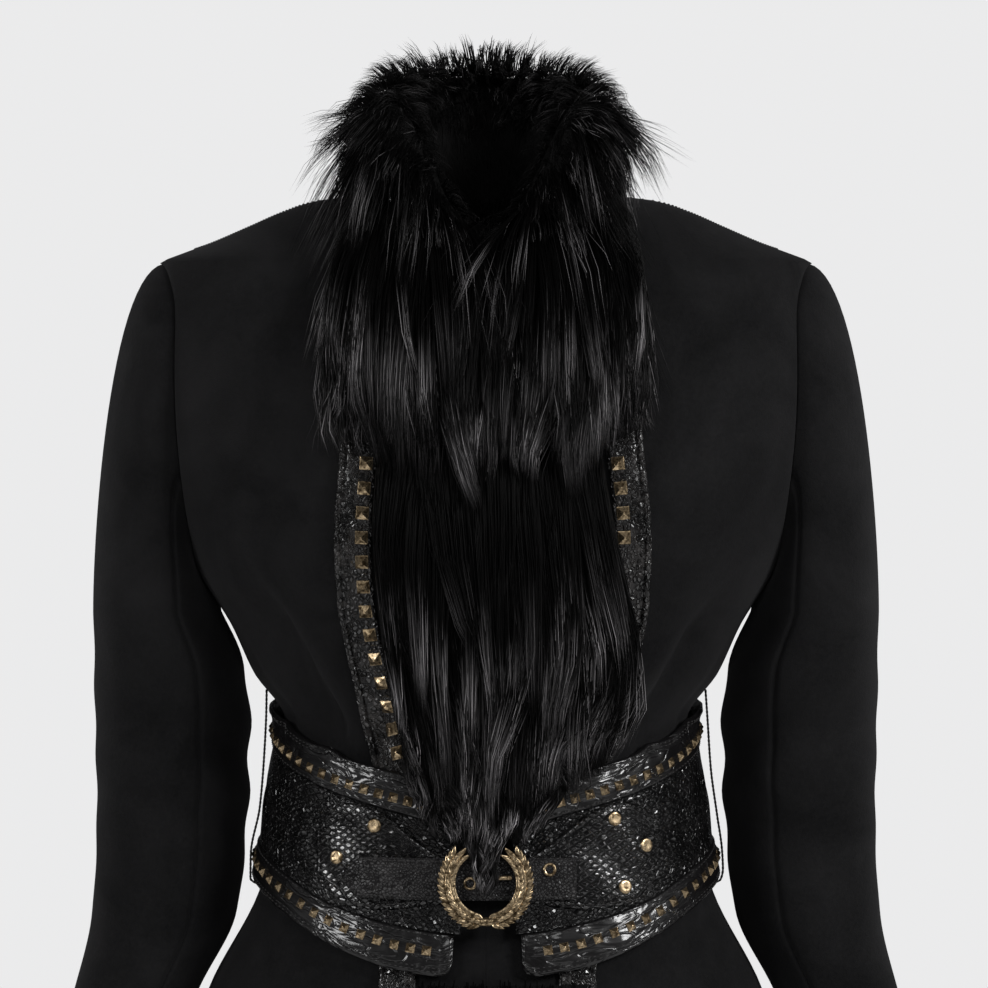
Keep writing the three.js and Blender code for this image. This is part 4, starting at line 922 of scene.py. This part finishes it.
def patch(start, end, middle, half, base, raised, columns=70):
    """Flat piece across the front, half its height above and below a middle line, its edges rolled down."""
    share_x, share_z = np.meshgrid(np.linspace(0, 1, columns), np.linspace(0, 1, 26), indexing="ij")
    share_x, share_z = ((1 - np.cos(np.pi * v)) / 2 for v in (share_x, share_z))
    across = start + (end - start) * share_x
    low, high = middle(across) - half(across), middle(across) + half(across)
    z = low + (high - low) * share_z
    rim = np.minimum(share_z, 1 - share_z) * (high - low)
    rim = np.minimum(rim, np.minimum(share_x, 1 - share_x) * abs(end - start))
    puff = 0.5 * np.sin(np.pi * share_z) * np.sin(across / 5.5 + 9 * share_z)
    lift = raised + puff - 1.1 * bell(rim, 0, 0.9) - 0.35 * bell(rim, 2.2, 0.5)
    angle = angle_at(across, z)
    points, faces = shell(skin(angle, z, lift), skin(angle, z, base))
    return points, faces, flat_map(across, z)


def yoke_middle(across):
    """The yoke's middle line: level at the ring, then up by 14 mm towards the side."""
    return BUCKLE_Z + 14 * smooth((np.abs(across) - 20) / 60)


def yoke_half(across):
    """Half the yoke's height, which widens from the ring and is rounded off at its outer end."""
    wide = 13.5 + 17.5 * smooth((np.abs(across) - 20) / 52)
    return wide * (0.45 + 0.55 * smooth((98 - np.abs(across)) / 14))


def strap_middle(across):
    """The strap's middle line, level at the buckle's height."""
    return BUCKLE_Z + 0 * across


def strap_half(across):
    """Half the strap's height, which narrows to a point at one end."""
    return 12.5 * np.clip((across + 81) / 9, 0.18, 1) ** 0.6


def edge_line(across, height, lift):
    """Places, outward ways and running ways along a curve of height on the belt."""

    def spot(x, lift):
        """Point of the curve at a lift."""
        return skin(angle_at(x, height(x)), height(x), lift)

    return placed(spot, np.asarray(across, float), lift, 0.5)


def edge_pair(row, middle, half, inset, lift):
    """The same for both long edges of a flat piece, at a distance in from them."""
    return joined([edge_line(row, lambda x: middle(x) + s * (half(x) - inset), lift) for s in (1, -1)])


for side, sign in (("left", 1), ("right", -1)):
    start, end = sorted((20.0 * sign, 98.0 * sign))
    points, faces, uv = patch(start, end, yoke_middle, yoke_half, YOKE_BACK, YOKE_FACE)
    looks = ([yoke_skin], "python_skin", [f"belt_yoke_{side}"])
    yoke = make(f"belt_yoke_{side}_skin", points, faces, *looks, uv=uv)
    row = np.arange(start + 4, end - 3, 2.9)
    stitches(f"belt_yoke_{side}_stitches", *edge_pair(row, yoke_middle, yoke_half, 2.2, YOKE_FACE))

points, faces, uv = patch(-81.0, 52.0, strap_middle, strap_half, STRAP_BACK, STRAP_FACE, columns=110)
strap = make("belt_strap_skin", points, faces, [strap_skin], "python_skin", ["belt_strap"], uv=uv)
row = np.arange(-71, 50, 2.7)
stitches("belt_strap_stitches", *edge_pair(row, strap_middle, strap_half, 2.0, STRAP_FACE - 0.1))

# Buckle: a cast ring open at the top, covered with overlapping laurel leaves that grow from the foot up
# both sides, with a short prong. Flat-headed rivets and two rolled eyelets are set through the leather.
RING_LIFT, RING_REACH, RING_END = 13.2, 22.8, 150 * TURN
ring_top, ring_foot = (skin(0.0, BUCKLE_Z + d, RING_LIFT)[1] for d in (15, -15))
RING_Y, LEAN = skin(0.0, BUCKLE_Z, RING_LIFT)[1] - 3.2, (ring_top - ring_foot) / 30


def ring_place(turn, reach, out):
    """Point of the ring's plane, which leans with the belt: turn from its foot, reach from its centre."""
    up = -reach * np.cos(turn)
    return np.stack([reach * np.sin(turn), RING_Y + LEAN * up - out, BUCKLE_Z + up], -1)


way = np.linspace(-150, 150, 121) * TURN
way, spin = np.meshgrid(way, np.linspace(0, 2 * np.pi, 17)[:-1], indexing="ij")
taper = np.minimum(1, 0.25 + (RING_END - np.abs(way)) * 2.2)
core = ring_place(way, RING_REACH + 2.7 * taper * np.cos(spin), 2.2 * taper * np.sin(spin))
make("buckle_ring_core", *tube(core), [brass], "antique_brass", ["buckle_ring"])

u, v = np.meshgrid(np.linspace(0, 1, 6), np.linspace(-1, 1, 5), indexing="ij")
blade = np.sin(np.pi * u**0.75) ** 0.8 * (1 - 0.15 * u)
front = 1.15 * np.sqrt(np.maximum(0, 1 - v * v)) * blade - 0.55 * bell(v, 0, 0.16) * blade
front = front + 1.3 * u * (1 - 0.3 * u)
leaf_top = np.stack([1.7 * v * blade, 8.6 * u, front], -1)
leaf_under = np.stack([1.7 * v * blade, 8.6 * u, front * 0 - 0.4 + 1.0 * u], -1)
leaf_points, leaf_faces = shell(leaf_top, leaf_under)
leaves = []
for side in (1, -1):
    for reach, splay, lift, delay in (
        (21.2, -27, 0.7, 0.0), (24.4, 27, 0.7, 0.5), (RING_REACH, 0, 1.9, 0.25),
    ):
        turn = side * (4 + (np.arange(19) + delay) * 7.4) * TURN
        turn = turn[np.abs(turn) < 132 * TURN]
        still = 0 * turn
        foot = ring_place(turn, reach + still, lift + still)
        growing = unit(ring_place(turn + side * 0.02, reach + still, lift + still) - foot)
        away = unit(ring_place(turn, reach + 1 + still, lift + still) - foot)
        up = unit(np.cos(splay * TURN) * growing + np.sin(splay * TURN) * away)
        out = np.tile(unit(np.array([0, -1.0, LEAN])), (len(turn), 1))
        leaves.append((foot, unit(np.cross(up, out)), up, out))
points = scatter(leaf_points, *joined(leaves))
faces = repeated(leaf_faces, len(leaf_points), len(points) // len(leaf_points))
make("buckle_leaves", points, faces, [brass], "antique_brass", ["buckle_ring"])


def turned(profile, steps):
    """Closed body of revolution about Z from radius and height rows, its first and last row on the axis."""
    radius, height = np.array(profile, float).T
    a = np.linspace(0, 2 * np.pi, steps, endpoint=False)
    circle = [np.outer(radius, np.cos(a)), np.outer(radius, np.sin(a)), np.outer(height, np.ones(steps))]
    return np.stack(circle, -1).reshape(-1, 3), [walls(len(radius), steps)]


def set_at(name, template, across, z, lift, replaced):
    """A turned shape set into the belt at a place, its axis along the surface's normal."""
    points, faces = template
    points = laid(points, *edge_line(np.array([across]), lambda x: z + 0 * x, lift))
    return make(name, points, faces, [brass], "antique_brass", [replaced])


flat_head = turned([
    (0.02, -1.0), (3.6, -1.0), (4.3, -0.2), (4.3, 0.5), (4.05, 0.95), (3.6, 1.15), (2.6, 1.2),
    (1.6, 1.12), (0.02, 1.1),
], 28)
for rivet, across, z in (
    ("rivet_left_upper", 74, -386), ("rivet_left_outer", 92, -403), ("rivet_left_lower", 80, -427.5),
    ("rivet_right_upper", -64, -390), ("rivet_right_outer", -85.5, -410),
):
    set_at(rivet + "_head", flat_head, across, z, YOKE_FACE + 0.4, rivet)
rolled_rim = turned([
    (2.35, -0.8), (4.0, -0.8), (4.25, 0.0), (4.0, 0.55), (3.5, 0.85), (3.0, 0.8), (2.5, 0.45),
    (2.25, -0.1), (2.35, -0.8),
], 28)
for eyelet, across, z in (("eyelet_ring", -9, -424), ("eyelet_strap", 36.5, -416)):
    set_at(eyelet + "_rim", rolled_rim, across, z, STRAP_FACE + 0.3, eyelet)
points, faces = turned([(0.02, 0), (1.2, 0.1), (1.5, 0.9), (1.5, 8.0), (1.1, 8.8), (0.02, 9.1)], 16)
points = np.stack([7 + points[:, 2], RING_Y + 3.2 - 1.5 + points[:, 1], BUCKLE_Z + 3 + points[:, 0]], -1)
make("buckle_prong_pin", points, [faces[0][:, ::-1]], [brass], "antique_brass", ["buckle_prong"])

# Chains of twisted thread at the side seams that carry the belt, one taut and one slack.
LOOPS = {  # distance across and height of the points that each passes
    "left": [
        (138.2, -311), (139.5, -330), (141.5, -360), (145.5, -390), (148.6, -412), (149.2, -424),
        (147.5, -431), (142.6, -433),
    ],
    "right": [
        (-138.2, -311), (-138.4, -324), (-139.6, -350), (-142.5, -385), (-148.2, -415), (-148.4, -430),
        (-143.5, -434),
    ],
}
for side, knots in LOOPS.items():
    knots = np.array(knots, float)
    length = np.concatenate([[0], np.cumsum(np.linalg.norm(np.diff(knots, axis=0), axis=1))])
    at = np.linspace(0, length[-1], 260)
    table = np.column_stack([length, knots])
    x, z = curve(at, table, 1), curve(at, table, 2)
    running = unit(np.gradient(np.stack([x, 0 * x, z], -1), axis=0))
    forward = np.array([0, 1.0, 0]) + 0 * running
    away = np.cross(running, forward)
    spin = np.linspace(0, 2 * np.pi, 9)[:-1][None, :, None]
    link = 0.55 + 0.22 * np.abs(np.sin(at * np.pi / 2.6))
    ring = forward[:, None] * np.cos(spin) + away[:, None] * np.sin(spin)
    middle = np.stack([x, 0.25 * np.sin(at * 2.4), z], -1)
    points, faces = tube(middle[:, None] + link[:, None, None] * ring)
    make(f"belt_loop_{side}_thread", points, faces, [thread], "thread", [f"belt_loop_{side}"])

# Studio: a pale floor well below the hem, a soft light from the front right, a weaker one from the left,
# one above the lens and two that draw the edges. The camera looks level at the front, at chest height.
floor_mesh = bpy.data.meshes.new("floor")
around = np.linspace(0, 2 * np.pi, 96, endpoint=False)
floor_mesh.from_pydata([(3 * np.cos(a), 3 * np.sin(a), -0.95) for a in around], [], [range(96)])
floor_mesh.materials.append(finish_of("pale_floor", Base_Color=(0.83, 0.83, 0.83, 1), Roughness=0.8)[0])
floor = bpy.data.objects.new("floor", floor_mesh)
bpy.context.scene.collection.objects.link(floor)

world = bpy.data.worlds.new("studio")
world.use_nodes = True
node = nodes_in(world.node_tree)
seen = node("LightPath").outputs["Is Camera Ray"]
shade = blend(node, seen, (0.055, 0.055, 0.057, 1), (0.83, 0.83, 0.835, 1))
put(shade, world.node_tree.nodes["Background"].inputs["Color"])
bpy.context.scene.world = world
bpy.context.scene.view_settings.view_transform = "Standard"
for name, place, aim, size, power in (
    ("key", (2.1, -1.5, 0.9), (0, 0, -0.25), 0.8, 70),
    ("fill", (-2.1, -1.5, 0.6), (0, 0, -0.3), 0.8, 36),
    ("front", (0.2, -2.6, 1.3), (0, 0, -0.3), 1.0, 18),
    ("edge_left", (-1.9, 0.9, 0.5), (0, 0, -0.3), 0.8, 12),
    ("edge_right", (1.9, 0.9, 0.5), (0, 0, -0.3), 0.8, 12),
):
    lamp = bpy.data.lights.new(name, "AREA")
    lamp.energy, lamp.size = power, size
    light = bpy.data.objects.new(name, lamp)
    light.location = place
    way = np.array(aim) - np.array(place)
    light.rotation_euler = (np.arctan2(np.hypot(way[0], way[1]), -way[2]), 0, np.arctan2(-way[0], way[1]))
    bpy.context.scene.collection.objects.link(light)

lens = bpy.data.cameras.new("camera")
lens.sensor_width, lens.sensor_height, lens.sensor_fit = 36, 36, "HORIZONTAL"
lens.lens = 18 / np.tan(TURN * 13.65 / 2)
lens.clip_end = 30
camera = bpy.data.objects.new("camera", lens)
camera.location = (0.005, -2.6, -0.188)
camera.rotation_euler = (np.pi / 2, 0, 0)
bpy.context.scene.collection.objects.link(camera)
bpy.context.scene.camera = camera
